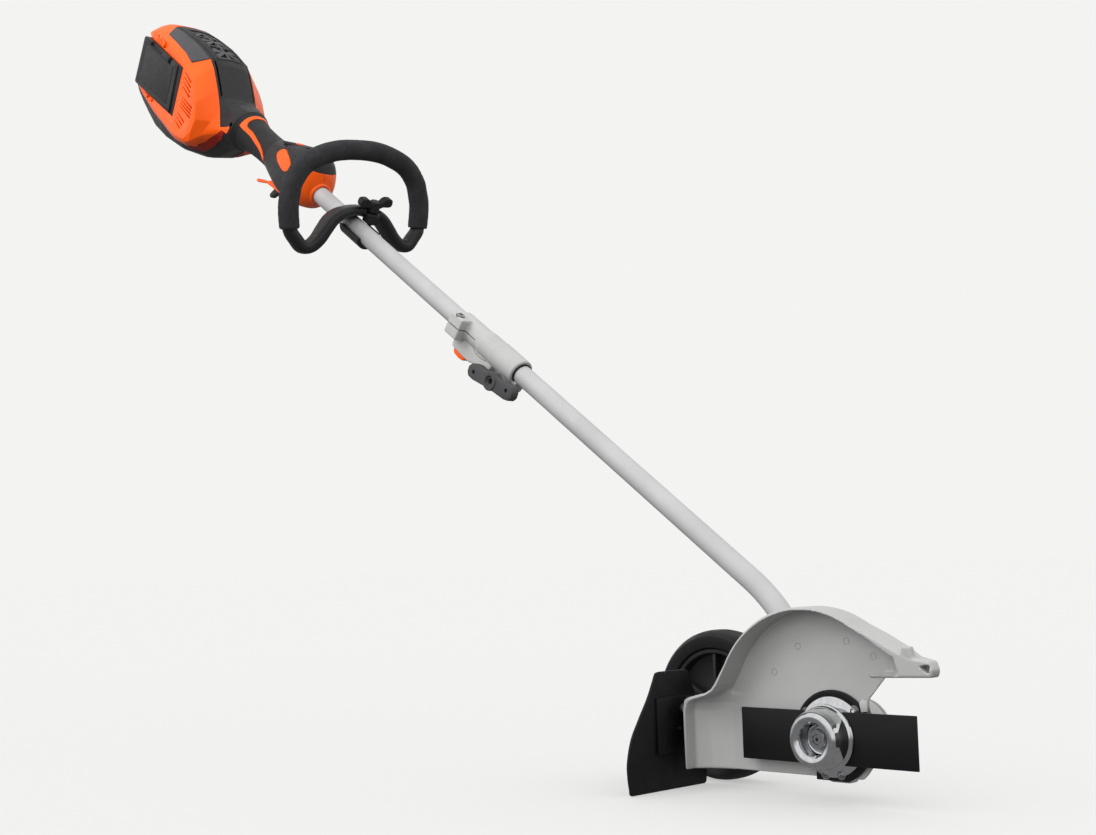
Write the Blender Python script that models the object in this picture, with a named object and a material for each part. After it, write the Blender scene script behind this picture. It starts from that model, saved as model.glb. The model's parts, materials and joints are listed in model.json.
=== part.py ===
"""Battery stick lawn edger: power head, controls, loop handle, two-piece shaft and guarded edger head.

Lengths are in millimetres and become metres when a mesh is made. Two frames carry the design:
the edger frame sits on the blade centre (+X rolling direction, +Y tool's left, +Z up), and the
shaft frame has its local Z up the shaft axis, X on the upper side of the shaft and Y to the left.
"""

import math

import bmesh
import bpy
from mathutils import Matrix, Vector

MM = 0.001
GAP = 0.3

# Frame
BLADE_CENTRE = (560.6, -37.9, 62.0)
SHAFT_PLANE_Y = 40.25
SHAFT_DROP = 66.72
SHAFT_TILT = math.radians(36.63)
INPUT_TILT = math.radians(56.3)

# Shaft
TUBE_R = 12.0
TUBE_BORE = 10.5
DRIVE_R = 4.0
LOWER_TUBE_TOP = 610.0
UPPER_TUBE_START = 613.0
UPPER_TUBE_END = 1252.0
BEND_RADIUS = 200.0
LOWER_TUBE_END = 50.0

# Blade group
BLADE_LENGTH = 203.2
BLADE_WIDTH = 50.8
BLADE_T = 3.0
SPINDLE_R = 6.0
CUP_R = 32.5
CUP_RIM_R = 26.0
CUP_DEPTH = 25.0

# Guard
GUARD_FRONT_Y = -17.0
GUARD_PLATE_Y = 14.0
GUARD_BACK_Y = 17.0
GUARD_WALL = 3.0
GUARD_ARC_CENTRE = (-14.0, 16.0)
GUARD_ARC_R = 110.0
GUARD_DISC_R = 50.0

# Gears
PINION_TEETH = 12
GEAR_TEETH = 18
PINION_R = 10.0
GEAR_R = 15.0

# Wheel
WHEEL_CENTRE = (-190.0, 18.0)
WHEEL_R = 80.0
WHEEL_Y = 60.0
WHEEL_WIDTH = 38.0
ARM_PIVOT = (-96.0, 18.0)
ARM_Y = 50.0
ARM_T = 4.0
KNOB_SLOT_R = 55.0

COUPLER_BOLT = (-20.5, 0, 574)

# Loop handle
LOOP_S = 948.0
LOOP_LEAN = math.radians(-24.0)
LOOP_ROLL = math.radians(8.0)
SLEEVE_R = 13.5
LOOP_CORE_R = 9.4
KNOB_SEAT = (0, 17, -6)

# Head
HEAD_REAR = 1520.0
SHELL = 3.0
SPINE_HALF = 32.0
BATTERY_FRONT = 1381.0
BATTERY_REAR = 1505.0
BATTERY_LEAN = 0.25
BATTERY_LOW = -38.0
BATTERY_HIGH = 33.0
BATTERY_HALF = 60.5

MATERIALS = {
    "orange_plastic": ((0.95, 0.16, 0.012), 0.42, 0.0),
    "dark_plastic": ((0.030, 0.030, 0.032), 0.55, 0.0),
    "black_plastic": ((0.012, 0.012, 0.013), 0.5, 0.0),
    "foam": ((0.022, 0.022, 0.023), 0.9, 0.0),
    "rubber": ((0.014, 0.014, 0.014), 0.8, 0.0),
    "silver_paint": ((0.62, 0.62, 0.61), 0.4, 0.6),
    "tube_paint": ((0.60, 0.60, 0.60), 0.35, 0.5),
    "chrome": ((0.85, 0.85, 0.86), 0.12, 1.0),
    "steel": ((0.55, 0.55, 0.56), 0.3, 1.0),
    "black_steel": ((0.010, 0.010, 0.011), 0.45, 0.3),
    "copper": ((0.70, 0.28, 0.12), 0.4, 1.0),
    }


# ---------------------------------------------------------------- scene helpers

def clear_scene():
    for item in list(bpy.data.objects):
        bpy.data.objects.remove(item, do_unlink=True)


def material(name):
    found = bpy.data.materials.get(name)
    if found:
        return found
    colour, roughness, metallic = MATERIALS[name]
    made = bpy.data.materials.new(name)
    made.use_nodes = True
    shader = made.node_tree.nodes["Principled BSDF"]
    shader.inputs["Base Color"].default_value = (*colour, 1.0)
    shader.inputs["Roughness"].default_value = roughness
    shader.inputs["Metallic"].default_value = metallic
    return made


def empty(name, parent=None, location=(0, 0, 0), rotation=(0, 0, 0)):
    made = bpy.data.objects.new(name, None)
    bpy.context.scene.collection.objects.link(made)
    made.parent = parent
    made.location = Vector(location) * MM
    made.rotation_euler = rotation
    return made


def add_part(name, bm, finish, parent, origin=(0, 0, 0), rotation=(0, 0, 0), smooth=35):
    """Turns a bmesh in millimetres, drawn in the parent's frame, into an object whose own origin is given."""
    bmesh.ops.remove_doubles(bm, verts=bm.verts, dist=0.002)
    bmesh.ops.recalc_face_normals(bm, faces=bm.faces)
    placed = Matrix.LocRotScale(Vector(origin), None, None)
    bm.transform(Matrix.Scale(MM, 4) @ placed.inverted())
    mesh = bpy.data.meshes.new(name)
    bm.to_mesh(mesh)
    bm.free()
    mesh.materials.append(material(finish))
    mesh.shade_smooth()
    mesh.set_sharp_from_angle(angle=math.radians(smooth))
    made = bpy.data.objects.new(name, mesh)
    bpy.context.scene.collection.objects.link(made)
    made.parent = parent
    made.location = Vector(origin) * MM
    made.rotation_euler = rotation
    return made


def tool(bm, parent, name="cutter"):
    """A hidden helper for a Boolean, drawn in the same frame as the part that it changes."""
    made = add_part(name, bm, "steel", parent)
    made.hide_render = True
    made.display_type = "WIRE"
    return made


def boolean(part, helper, operation):
    change = part.modifiers.new(operation.lower(), "BOOLEAN")
    change.operation = operation
    change.object = helper
    change.solver = "EXACT"


def cut(part, bm):
    boolean(part, tool(bm, part.parent), "DIFFERENCE")


def join(part, bm):
    boolean(part, tool(bm, part.parent, "addition"), "UNION")


def keep(part, bm):
    boolean(part, tool(bm, part.parent, "region"), "INTERSECT")


# ---------------------------------------------------------------- mesh helpers

AXES = {"X": (1, 2, 0), "Y": (2, 0, 1), "Z": (0, 1, 2)}


def oriented(u, v, w, axis):
    """Coordinates (u, v) across an axis and w along it, in a right-handed order."""
    place = [0.0, 0.0, 0.0]
    for value, index in zip((u, v, w), AXES[axis]):
        place[index] = value
    return Vector(place)


def turned(profile, steps=24, axis="Z", centre=(0, 0, 0), bm=None):
    """Revolves a (radius, height) profile: a closed loop, or an open line that starts and ends on the axis."""
    bm = bm or bmesh.new()
    points = [bm.verts.new(oriented(r, 0, h, axis) + Vector(centre)) for r, h in profile]
    lines = [bm.edges.new(pair) for pair in zip(points, points[1:])]
    if profile[0][0] > 0:
        lines.append(bm.edges.new((points[-1], points[0])))
    bmesh.ops.spin(
        bm, geom=points + lines, cent=centre, axis=oriented(0, 0, 1, axis), dvec=(0, 0, 0),
        angle=2 * math.pi, steps=steps, use_merge=True, use_duplicate=False,
    )
    bmesh.ops.remove_doubles(bm, verts=bm.verts, dist=0.002)
    return bm


def rod(radius, low, high, steps=16, axis="Z", centre=(0, 0, 0), chamfer=0.0, bm=None):
    profile = [(0, low), (radius - chamfer, low), (radius, low + chamfer)]
    profile += [(radius, high - chamfer), (radius - chamfer, high), (0, high)]
    if not chamfer:
        profile = [(0, low), (radius, low), (radius, high), (0, high)]
    return turned(profile, steps, axis, centre, bm)


def ring(inner, outer, low, high, steps=24, axis="Z", centre=(0, 0, 0), bm=None):
    profile = [(inner, low), (outer, low), (outer, high), (inner, high)]
    return turned(profile, steps, axis, centre, bm)


def prism(outline, low, high, axis="Y", bm=None):
    """Extrudes an outline across the axis. For Y the outline's pairs are (x, z), for Z (x, y), for X (y, z)."""
    bm = bm or bmesh.new()
    if axis == "Y":
        outline = [(z, x) for x, z in outline]
    base = [bm.verts.new(oriented(u, v, low, axis)) for u, v in outline]
    face = bm.faces.new(base)
    grown = bmesh.ops.extrude_face_region(bm, geom=[face])["geom"]
    moved = [item for item in grown if isinstance(item, bmesh.types.BMVert)]
    bmesh.ops.translate(bm, verts=moved, vec=oriented(0, 0, high - low, axis))
    return bm


def block(low, high, bevel=0.0, bm=None, segments=1):
    bm = bm or bmesh.new()
    low, high = Vector(low), Vector(high)
    made = bmesh.ops.create_cube(bm, size=1.0)["verts"]
    size = high - low
    bmesh.ops.scale(bm, vec=size, verts=made)
    bmesh.ops.translate(bm, vec=(low + high) / 2, verts=made)
    if bevel:
        edges = list({edge for vert in made for edge in vert.link_edges})
        bmesh.ops.bevel(bm, geom=edges, offset=bevel, segments=segments, affect="EDGES", profile=0.5)
    return bm


def loft(rings, closed=False, bm=None):
    """Bridges rings of equal length. A closed loft joins the last ring to the first, an open one is capped."""
    bm = bm or bmesh.new()
    rows = [[bm.verts.new(point) for point in one] for one in rings]
    pairs = list(zip(rows, rows[1:]))
    if closed:
        pairs.append((rows[-1], rows[0]))
    for low, high in pairs:
        for i in range(len(low)):
            j = (i + 1) % len(low)
            bm.faces.new((low[i], low[j], high[j], high[i]))
    if not closed:
        bm.faces.new(rows[0])
        bm.faces.new(rows[-1][::-1])
    return bm


def signed_power(value, power):
    return math.copysign(abs(value) ** power, value)


def section(s, half, top, bottom, upper=2.2, lower=2.2, count=32, inset=0.0):
    """A rounded section across the shaft: half its width, its top and bottom, and how square each half is."""
    middle = (top + bottom) / 2
    rise = (top - bottom) / 2 - inset
    points = []
    for i in range(count):
        angle = 2 * math.pi * (i + 0.5) / count
        power = 2 / (upper if math.sin(angle) > 0 else lower)
        across = (half - inset) * signed_power(math.cos(angle), power)
        up = middle + rise * signed_power(math.sin(angle), power)
        points.append(Vector((up, across, s)))
    return points


def sweep(path, sections, closed=False, bm=None):
    """Carries sections, given as (across, up) points, along a path of (place, across axis, up axis)."""
    rings = []
    for (place, across, up), shape in zip(path, sections):
        rings.append([place + across * a + up * b for a, b in shape])
    return loft(rings, closed, bm)


def circle(radius, count, turn=0.0):
    angles = [turn + 2 * math.pi * i / count for i in range(count)]
    return [(radius * math.cos(a), radius * math.sin(a)) for a in angles]


def arc(centre, radius, start, end, count):
    """Points of an arc in a plane, from start to end in degrees, both included."""
    angles = [math.radians(start + (end - start) * i / (count - 1)) for i in range(count)]
    return [(centre[0] + radius * math.cos(a), centre[1] + radius * math.sin(a)) for a in angles]


def smooth_line(points, steps, closed=False):
    """A Catmull-Rom curve through the points, with the given steps between each two."""
    result = []
    count = len(points)
    spans = count if closed else count - 1
    for i in range(spans):
        if closed:
            a, b, c, d = (Vector(points[(i + k) % count]) for k in (-1, 0, 1, 2))
        else:
            picks = (max(i - 1, 0), i, i + 1, min(i + 2, count - 1))
            a, b, c, d = (Vector(points[k]) for k in picks)
        for k in range(steps):
            t = k / steps
            result.append(0.5 * (2 * b + (c - a) * t + (2 * a - 5 * b + 4 * c - d) * t * t
                                 + (3 * b - a - 3 * c + d) * t ** 3))
    if not closed:
        result.append(Vector(points[-1]))
    return result


def bolt(radius, length, head_r, head_h, axis="Y", centre=(0, 0, 0), direction=1, steps=12, bm=None):
    """A button-head screw with a socket. Its shank runs from the centre against the direction of its head."""
    d = direction
    profile = [(0, -length * d), (radius, -length * d), (radius, 0), (head_r, 0), (head_r, head_h * 0.5 * d)]
    profile += [(head_r * 0.7, head_h * d), (head_r * 0.4, head_h * d), (head_r * 0.4, head_h * 0.4 * d)]
    profile += [(0, head_h * 0.4 * d)]
    return turned(profile, steps, axis, centre, bm)


# ---------------------------------------------------------------- shaft geometry

def shaft_direction(tilt):
    return Vector((-math.cos(tilt), 0, math.sin(tilt)))


def bend_geometry():
    """Where the shaft axis meets the input axis, in the edger frame, and the tangent length of the bend."""
    along = SHAFT_DROP / (math.cos(SHAFT_TILT) * math.tan(INPUT_TILT) - math.sin(SHAFT_TILT))
    meeting = Vector((0, SHAFT_PLANE_Y, SHAFT_DROP)) + shaft_direction(SHAFT_TILT) * along
    tangent = BEND_RADIUS * math.tan((INPUT_TILT - SHAFT_TILT) / 2)
    return meeting, tangent, along


def shaft_route(low, high, step_count):
    """Points and normals down the middle of the bent shaft, from a distance up the input axis to a shaft station."""
    meeting, tangent, along = bend_geometry()
    lower, upper = shaft_direction(INPUT_TILT), shaft_direction(SHAFT_TILT)
    apex = Vector((0, SHAFT_PLANE_Y, 0))
    base = Vector((0, SHAFT_PLANE_Y, SHAFT_DROP))
    route = [(apex + lower * low, lower)]
    centre = meeting - lower * tangent
    side = Vector((-math.sin(INPUT_TILT), 0, -math.cos(INPUT_TILT)))
    pivot = centre + side * BEND_RADIUS
    turn = INPUT_TILT - SHAFT_TILT
    for i in range(step_count + 1):
        spin = Matrix.Rotation(-turn * i / step_count, 3, "Y")
        route.append((pivot + spin @ (centre - pivot), spin @ lower))
    route.append((base + upper * high, upper))
    return route


def along_route(route, radius, count=20, inner=0.0):
    """A tube or rod that follows a route in the shaft plane."""
    frames = []
    for place, direction in route:
        across = Vector((0, 1, 0))
        frames.append((place, across, direction.cross(across)))
    outer = [circle(radius, count)] * len(frames)
    if not inner:
        return sweep(frames, outer)
    hollow = [circle(inner, count)] * len(frames)
    return sweep(frames + frames[::-1], outer + hollow, closed=True)


# ---------------------------------------------------------------- edger head

def guard_outline():
    """The guard's side view as (x, z), from the rear bottom corner over the arc to the spout and round the disc."""
    points = [(-166, -40), (-167, 20), (-165, 31), (-159, 34), (-137, 39), (-129, 43), (-124, 49)]
    points += arc(GUARD_ARC_CENTRE, GUARD_ARC_R, 152, 58, 10)
    points += [(63, 101), (84, 90), (106, 80), (128, 77), (132, 69), (130, 62), (62, 60)]
    points += [(40, 36)]
    points += arc((0, 0), GUARD_DISC_R, 34, -53, 8)
    return points


def guard_cavity(y_offset):
    """The pocket's outline at a depth: its rear end runs out over a slope, its front end over the spout's ramp."""
    rear, front = y_offset
    wall = GUARD_WALL
    points = [(rear, -70), (rear, 20), (rear + 3, 28), (rear + 8, 31), (max(-137, rear + 14), 36)]
    points += [(-127, 41), (-120, 48)]
    points += arc(GUARD_ARC_CENTRE, GUARD_ARC_R - wall, 151, 60, 10)
    points += [(min(61, front - 9), 97), (front - 4, 94 - (front - 66) * 0.52), (front, 66 + (front > 90) * 4)]
    points += [(front, 63), (min(62, front), 63), (75, 40), (75, 0), (75, -70)]
    return points


def at_depth(outline, y):
    return [Vector((x, y, z)) for x, z in outline]


def make_guard(edger):
    bm = prism(guard_outline(), GUARD_FRONT_Y, GUARD_BACK_Y)
    guard = add_part("guard_shell", bm, "silver_paint", edger)
    depths = [(-30.0, (-163, 104)), (0.0, (-163, 84)), (GUARD_PLATE_Y, (-126, 66))]
    rings = [at_depth(guard_cavity(ends), y) for y, ends in depths]
    cut(guard, loft(rings))
    cut(guard, prism([(112, 64.5), (140, 64.5), (140, 73), (118, 73)], -14, 12))
    cut(guard, rod(21, 0, 30, 18, "Y"))
    cut(guard, rod(106.4, -6, 6, 48, "Y"))
    bosses = rod(9, GUARD_BACK_Y - 1, ARM_Y - GAP, 14, "Y", (ARM_PIVOT[0], 0, ARM_PIVOT[1]))
    slot_end = (ARM_PIVOT[0], 0, ARM_PIVOT[1] + KNOB_SLOT_R)
    rod(9, GUARD_BACK_Y - 1, ARM_Y - GAP, 14, "Y", slot_end, bm=bosses)
    join(guard, bosses)
    holes = rod(3.3, 30, 60, 10, "Y", (ARM_PIVOT[0], 0, ARM_PIVOT[1]))
    rod(3.3, 30, 60, 10, "Y", slot_end, bm=holes)
    for place in screw_ring(36, 4, 30):
        rod(2.3, 10, 20, 8, "Y", place, bm=holes)
    cut(guard, holes)
    return guard


def screw_ring(radius, count, start):
    """Places round the output axis for a ring of screws."""
    angles = [math.radians(start + 360 * i / count) for i in range(count)]
    return [Vector((radius * math.cos(a), 0, radius * math.sin(a))) for a in angles]


def input_matrix():
    """Places the input axis: local Z up the input axis, from the point where it meets the output axis."""
    turn = -(math.pi / 2 - INPUT_TILT)
    return Matrix.Translation((0, SHAFT_PLANE_Y, 0)) @ Matrix.Rotation(turn, 4, "Y")


def on_input(bm):
    bm.transform(input_matrix())
    return bm


def make_gear_case(edger):
    bm = rod(34, GUARD_BACK_Y + GAP, 60, 25, "Y")
    case = add_part("gear_case", bm, "silver_paint", edger)
    join(case, on_input(rod(17.5, 12, 84, 19)))
    join(case, block((-13, GUARD_BACK_Y + GAP, -45), (13, 34, 0)))
    cut(case, rod(27, 26, 70, 17, "Y"))
    cut(case, rod(15.3, 10, 40, 24, "Y"))
    cut(case, on_input(rod(13.3, 18, 47, 20)))
    cut(case, on_input(rod(TUBE_R + GAP, 47, 90, 17)))
    cut(case, on_input(block((5, -1, 62), (30, 1, 90))))
    holes = bmesh.new()
    for place in screw_ring(36, 4, 30):
        rod(2.3, 10, 30, 8, "Y", place, bm=holes)
    cut(case, holes)


def make_gear_cover(edger):
    """The black bearing plate on the blade's side, with a straight lower left edge."""
    outline = [(-21, -42), (-21, -30)] + arc((0, 0), 45, 205, -70, 22)
    cover = add_part("gear_cover", prism(outline, 9.6, GUARD_PLATE_Y - GAP), "black_steel", edger)
    holes = rod(SPINDLE_R + 3, 5, 20, 20, "Y")
    for place in screw_ring(36, 4, 30):
        rod(2.3, 5, 20, 8, "Y", place, bm=holes)
    cut(cover, holes)
    lid = add_part("gear_case_lid", rod(33.5, 60.3, 64, 22, "Y"), "silver_paint", edger)
    join(lid, ring(SPINDLE_R + 0.15, 13, 55, 61, 16, "Y"))


def wedge_tooth(pitch_r, apex_distance, width, height, angle):
    """One straight bevel tooth on a cone about Z, its tip towards the apex at the origin."""
    cone = math.atan2(pitch_r, apex_distance)
    rings = []
    for scale in (0.62, 1.0):
        radius, level = pitch_r * scale, apex_distance * scale
        out = Vector((math.cos(cone), 0, -math.sin(cone)))
        base = Vector((radius, 0, level))
        half = width * scale / 2
        foot, tip = base - out * height * scale * 1.3, base + out * height * scale * 0.7
        side = Vector((0, 1, 0))
        rings.append([foot - side * half, foot + side * half, tip + side * half * 0.55, tip - side * half * 0.55])
    bm = loft(rings)
    bm.transform(Matrix.Rotation(angle, 4, "Z"))
    return bm


def bevel_blank(pitch_r, apex_distance, height, bore):
    """The cone under the teeth, as a turned ring about Z."""
    cone = math.atan2(pitch_r, apex_distance)
    outer_r, outer_h = pitch_r - height * math.cos(cone), apex_distance + height * math.sin(cone)
    inner_r, inner_h = outer_r * 0.62, outer_h * 0.62
    profile = [(bore, inner_h), (inner_r, inner_h), (outer_r, outer_h), (outer_r, outer_h + 2), (bore, outer_h + 2)]
    return turned(profile, 18)


def bevel_gear(name, teeth, pitch_r, apex_distance, bore, start, place, parent, origin):
    """A bevel gear about local Z, its apex at the origin, then placed by a matrix."""
    height = 1.5
    bm = bevel_blank(pitch_r, apex_distance, height, bore)
    bm.transform(place)
    gear = add_part(name, bm, "steel", parent, origin)
    ribs = bmesh.new()
    pitch_width = 2 * math.pi * pitch_r / teeth
    for i in range(teeth):
        tooth = wedge_tooth(pitch_r, apex_distance, pitch_width * 0.31, height, start + 2 * math.pi * i / teeth)
        tooth.transform(place)
        merge(ribs, tooth)
    join(gear, ribs)
    return gear


def make_gears(edger):
    apex = Vector((0, SHAFT_PLANE_Y, 0))
    facing = Matrix.Rotation(math.radians(-90), 4, "X")
    pinion_place = input_matrix()
    gear_place = Matrix.Translation(apex) @ facing
    gear_phase = INPUT_TILT + math.pi / GEAR_TEETH
    bevel_gear("bevel_gear", GEAR_TEETH, GEAR_R, PINION_R, SPINDLE_R + 0.3, gear_phase, gear_place, edger, (0, 0, 0))
    pinion = bevel_gear("bevel_pinion", PINION_TEETH, PINION_R, GEAR_R, 3.5, math.pi / 2, pinion_place, edger, apex)
    stem = turned([(0, 12.5), (3.6, 12.5), (5.0, 17.5), (5.0, 44), (3.0, 44), (3.0, 36), (0, 36)], 16)
    join(pinion, on_input(stem))
    add_part("pinion_bearing", on_input(ring(5.2, 13.0, 20, 32, 18)), "steel", edger)
    add_part("output_bearing", ring(SPINDLE_R + 0.15, 15.0, 17.6, 25.5, 18, "Y"), "steel", edger)


def make_spindle(edger):
    front = -BLADE_T / 2
    shaft = [(0, 59), (5.0, 59), (SPINDLE_R, 57.5), (SPINDLE_R, 5.0), (5.0, 4.6), (5.0, -15.5), (4.2, -16.2)]
    shaft += [(1.6, -16.2), (1.6, -12), (0, -12)]
    add_part("output_shaft", turned(shaft, 16, "Y"), "steel", edger)
    flange = [(SPINDLE_R + 0.3, 8.6), (38.5, 8.9), (38.5, 7.4), (24, 4.2), (22, 1.8), (5.3, 1.8), (5.3, 4.4)]
    flange += [(SPINDLE_R + 0.3, 5.2)]
    add_part("dust_flange", turned(flange, 18, "Y"), "chrome", edger)
    half_l, half_w = BLADE_LENGTH / 2, BLADE_WIDTH / 2
    blade = add_part("blade", block((-half_l, -1.5, -half_w), (half_l, 1.5, half_w), 0.4), "black_steel", edger)
    cut(blade, rod(5.3, -5, 5, 16, "Y"))
    cup = [(5.3, front - 0.3), (CUP_R, front - 0.3), (CUP_R + 0.4, front - 2.2), (CUP_R - 1.5, front - 3.4)]
    cup += [(29.0, front - 12), (27.6, front - 19), (CUP_RIM_R, front - 22.5), (23.5, front - CUP_DEPTH)]
    cup += [(20.5, front - CUP_DEPTH), (18.4, front - 22.5), (17.2, front - 14), (14.5, front - 9), (5.3, front - 8)]
    add_part("blade_cup", turned(cup, 18, "Y"), "chrome", edger)
    nut = [(5.3, front - 9.4), (12.5, front - 9.4), (12.5, front - 10.4), (10, front - 10.8), (10, front - 14)]
    nut += [(8.6, front - 15), (5.3, front - 15)]
    add_part("blade_nut", turned(nut, 12, "Y"), "steel", edger)


def make_wheel(edger):
    x, z = WHEEL_CENTRE
    centre = (x, WHEEL_Y + WHEEL_WIDTH / 2, z)
    w = WHEEL_WIDTH / 2
    tyre = [(61, -w + 3), (66, -w), (74, -w), (79, -w + 7), (WHEEL_R, 0), (79, w - 7), (74, w), (66, w), (61, w - 3)]
    add_part("wheel_tyre", turned(tyre, 30, "Y", centre), "rubber", edger, centre)
    hub = [(6.5, -16), (13, -16), (13, -4), (54, -4), (55, -15), (60, -15), (60, 15), (55, 15), (54, 4), (13, 4)]
    hub += [(13, 16), (6.5, 16)]
    wheel = add_part("wheel_hub", turned(hub, 20, "Y", centre), "black_plastic", edger, centre)
    ribs = bmesh.new()
    for i in range(6):
        spoke = block((11, -13.5, -1.8), (54.5, 13.5, 1.8))
        spoke.transform(Matrix.Translation(centre) @ Matrix.Rotation(math.radians(60 * i + 30), 4, "Y"))
        merge(ribs, spoke)
    join(wheel, ribs)
    axle = [(0, 45), (9, 45), (9, 49.6), (6.2, 49.6), (6.2, 96), (11, 96), (11, 98.6), (9.8, 100), (0, 100)]
    add_part("wheel_axle", turned(axle, 16, "Y", (x, 0, z)), "steel", edger, (x, 0, z))


def arm_outline():
    """The height arm's side view: an ear at the axle, and a sector with the slot round its pivot."""
    px, pz = ARM_PIVOT
    x, z = WHEEL_CENTRE
    points = arc((x, z), 14, 270, 90, 7)
    points += [(px - 30, pz + 26), (px - 26, pz + 46)]
    points += arc((px, pz), KNOB_SLOT_R + 10, 112, 68, 6)
    points += [(px + 13, pz + 20)]
    points += arc((px, pz), 14, 20, -90, 5)
    return points


def make_wheel_arm(edger):
    px, pz = ARM_PIVOT
    x, z = WHEEL_CENTRE
    arm = add_part("wheel_arm", prism(arm_outline(), ARM_Y, ARM_Y + ARM_T), "black_steel", edger, (px, 0, pz))
    holes = rod(6.5, 40, 60, 16, "Y", (x, 0, z))
    rod(4.2, 40, 60, 12, "Y", (px, 0, pz), bm=holes)
    slot = arc((px, pz), KNOB_SLOT_R + 4, 107, 73, 9) + arc((px, pz), KNOB_SLOT_R - 4, 73, 107, 9)
    prism(slot, 40, 60, bm=holes)
    cut(arm, holes)
    pivot = bolt(3.0, 18, 8, 4, "Y", (px, ARM_Y + ARM_T + GAP, pz), 1)
    add_part("arm_pivot_bolt", pivot, "steel", edger)
    knob_place = (px, 0, pz + KNOB_SLOT_R)
    knob = [(0, 36), (3.0, 36), (3.0, 54.4), (9, 54.4), (9, 58), (0, 58)]
    made = add_part("height_knob", turned(knob, 14, "Y", knob_place), "black_plastic", edger, knob_place)
    kx, ky, kz = knob_place
    join(made, block((kx - 5, 57, kz - 14), (kx + 5, 67, kz + 14), 2.0))


def make_flap(edger):
    """The rubber flap across the back, and the folded bracket that holds it to the guard's rear wall."""
    x = -188.0
    half = [(58.5, -56), (58.5, -34), (52, -8), (38, 22), (29.5, 52), (27, 60)]
    shift = [(-14.5 if z < 0 else -14.5 + z * 0.15) for _, z in half]
    right = [(c - y, z) for (y, z), c in zip(half, shift)]
    left = [(c + y, z) for (y, z), c in zip(half, shift)]
    outline = [(right[0][0] + 8, -61)] + right + left[::-1] + [(left[0][0] - 8, -61)]
    flap = add_part("debris_flap", prism(outline, x, x + 3, "X"), "rubber", edger)
    fold = [(-167.6, -12), (-169.9, -12), (-169.9, 8), (-181.9, 13), (-181.9, -38), (-184.7, -38), (-184.7, 16)]
    fold += [(-167.6, 10.5)]
    bracket = add_part("flap_bracket", prism(fold, -24, 34, "Z"), "black_steel", edger)
    holes = rod(2.3, -195, -175, 8, "X", (0, -4, 0))
    cut(flap, holes)
    wall_holes = rod(2.3, -195, -175, 8, "X", (0, -4, 0))
    rod(2.8, -175, -160, 8, "X", (0, -4, 24), bm=wall_holes)
    cut(bracket, wall_holes)
    add_part("flap_bolt", bolt(2.0, 9, 5, 3, "X", (-188.3, -4, 0), -1, 12), "steel", edger)


# ---------------------------------------------------------------- shaft parts

def make_lower_shaft(edger):
    route = shaft_route(LOWER_TUBE_END, LOWER_TUBE_TOP, 5)
    add_part("lower_tube", along_route(route, TUBE_R, 16, TUBE_BORE), "tube_paint", edger)
    inner = shaft_route(46.5, LOWER_TUBE_TOP - 1, 5)
    add_part("flexible_shaft", along_route(inner, DRIVE_R, 8), "steel", edger)


def make_upper_shaft(shaft):
    tube = ring(TUBE_BORE, TUBE_R, UPPER_TUBE_START, UPPER_TUBE_END, 20)
    add_part("upper_tube", tube, "tube_paint", shaft)
    line = [(0, LOWER_TUBE_TOP - GAP), (5.5, LOWER_TUBE_TOP - GAP), (5.5, 626), (DRIVE_R, 628), (DRIVE_R, 1292)]
    line += [(0, 1292)]
    add_part("upper_drive_shaft", turned(line, 12), "steel", shaft)
    for name, s in (("shaft_bushing_lower", 700), ("shaft_bushing_upper", 1220)):
        add_part(name, ring(4.25, 10.1, s, s + 24, 12), "black_plastic", shaft)


def make_coupler(shaft):
    """The cast quick coupler that clamps the lower tube, with its ears, boss, wing knob and release button."""
    body = [(TUBE_R - 1, 560), (16, 560), (17, 563), (17, 606), (16.2, 612), (16.2, 634), (15, 642), (15, 686)]
    body += [(TUBE_R - 1, 686)]
    coupler = add_part("coupler_body", turned(body, 18), "silver_paint", shaft)
    join(coupler, shaft_prism([(-12, 556), (-24, 558), (-28, 566), (-28, 582), (-12, 592)], -9, 9))
    boss = [(-12, 600), (-27.5, 606), (-29.5, 634), (-31, 640), (-31, 652), (-30, 677), (-12, 680)]
    join(coupler, shaft_prism(boss, -8, 8))
    join(coupler, shaft_prism([(-14, 662), (14, 662), (14, 685), (-14, 685)], -26, -8))
    cut(coupler, rod(TUBE_R + GAP, 540, 700, 20))
    cut(coupler, block((-0.9, -40, 640), (0.9, 0, 700)))
    cut(coupler, block((-33, -5.8, 652.5), (-17, 5.8, 675)))
    cut(coupler, rod(3.2, -20, 20, 8, "Y", COUPLER_BOLT))
    cut(coupler, rod(3.2, -20, 30, 10, "X", (0, -20, 674)))
    screw = bolt(2.6, 24, 5.2, 4, "X", (14.3, -20, 674), 1, 12)
    add_part("coupler_clamp_screw", screw, "steel", shaft)
    button = block((-35, -5.4, 653), (-21.5, 5.4, 674.5), 1.5)
    add_part("release_button", button, "orange_plastic", shaft, (-28, 0, 663.5))
    knob = [(0, 11), (2.7, 11), (2.7, -18.6), (9, -18.6), (10, -21), (10, -31), (3.5, -32), (3.5, -27), (0, -27)]
    made = add_part("coupler_knob", turned(knob, 12, "Y", COUPLER_BOLT), "black_plastic", shaft, COUPLER_BOLT)
    up, _, station = COUPLER_BOLT
    wings = bmesh.new()
    for side in (-1, 1):
        middle = station + side * 24
        wing = block((up - 9.5, -30, middle - 18), (up + 9.5, -19.2, middle + 18), 4.0)
        wing.transform(turn_about(COUPLER_BOLT, math.radians(-8), "Y"))
        merge(wings, wing)
    join(made, wings)


def turn_about(point, angle, axis):
    move = Matrix.Translation(point)
    return move @ Matrix.Rotation(angle, 4, axis) @ move.inverted()


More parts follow.
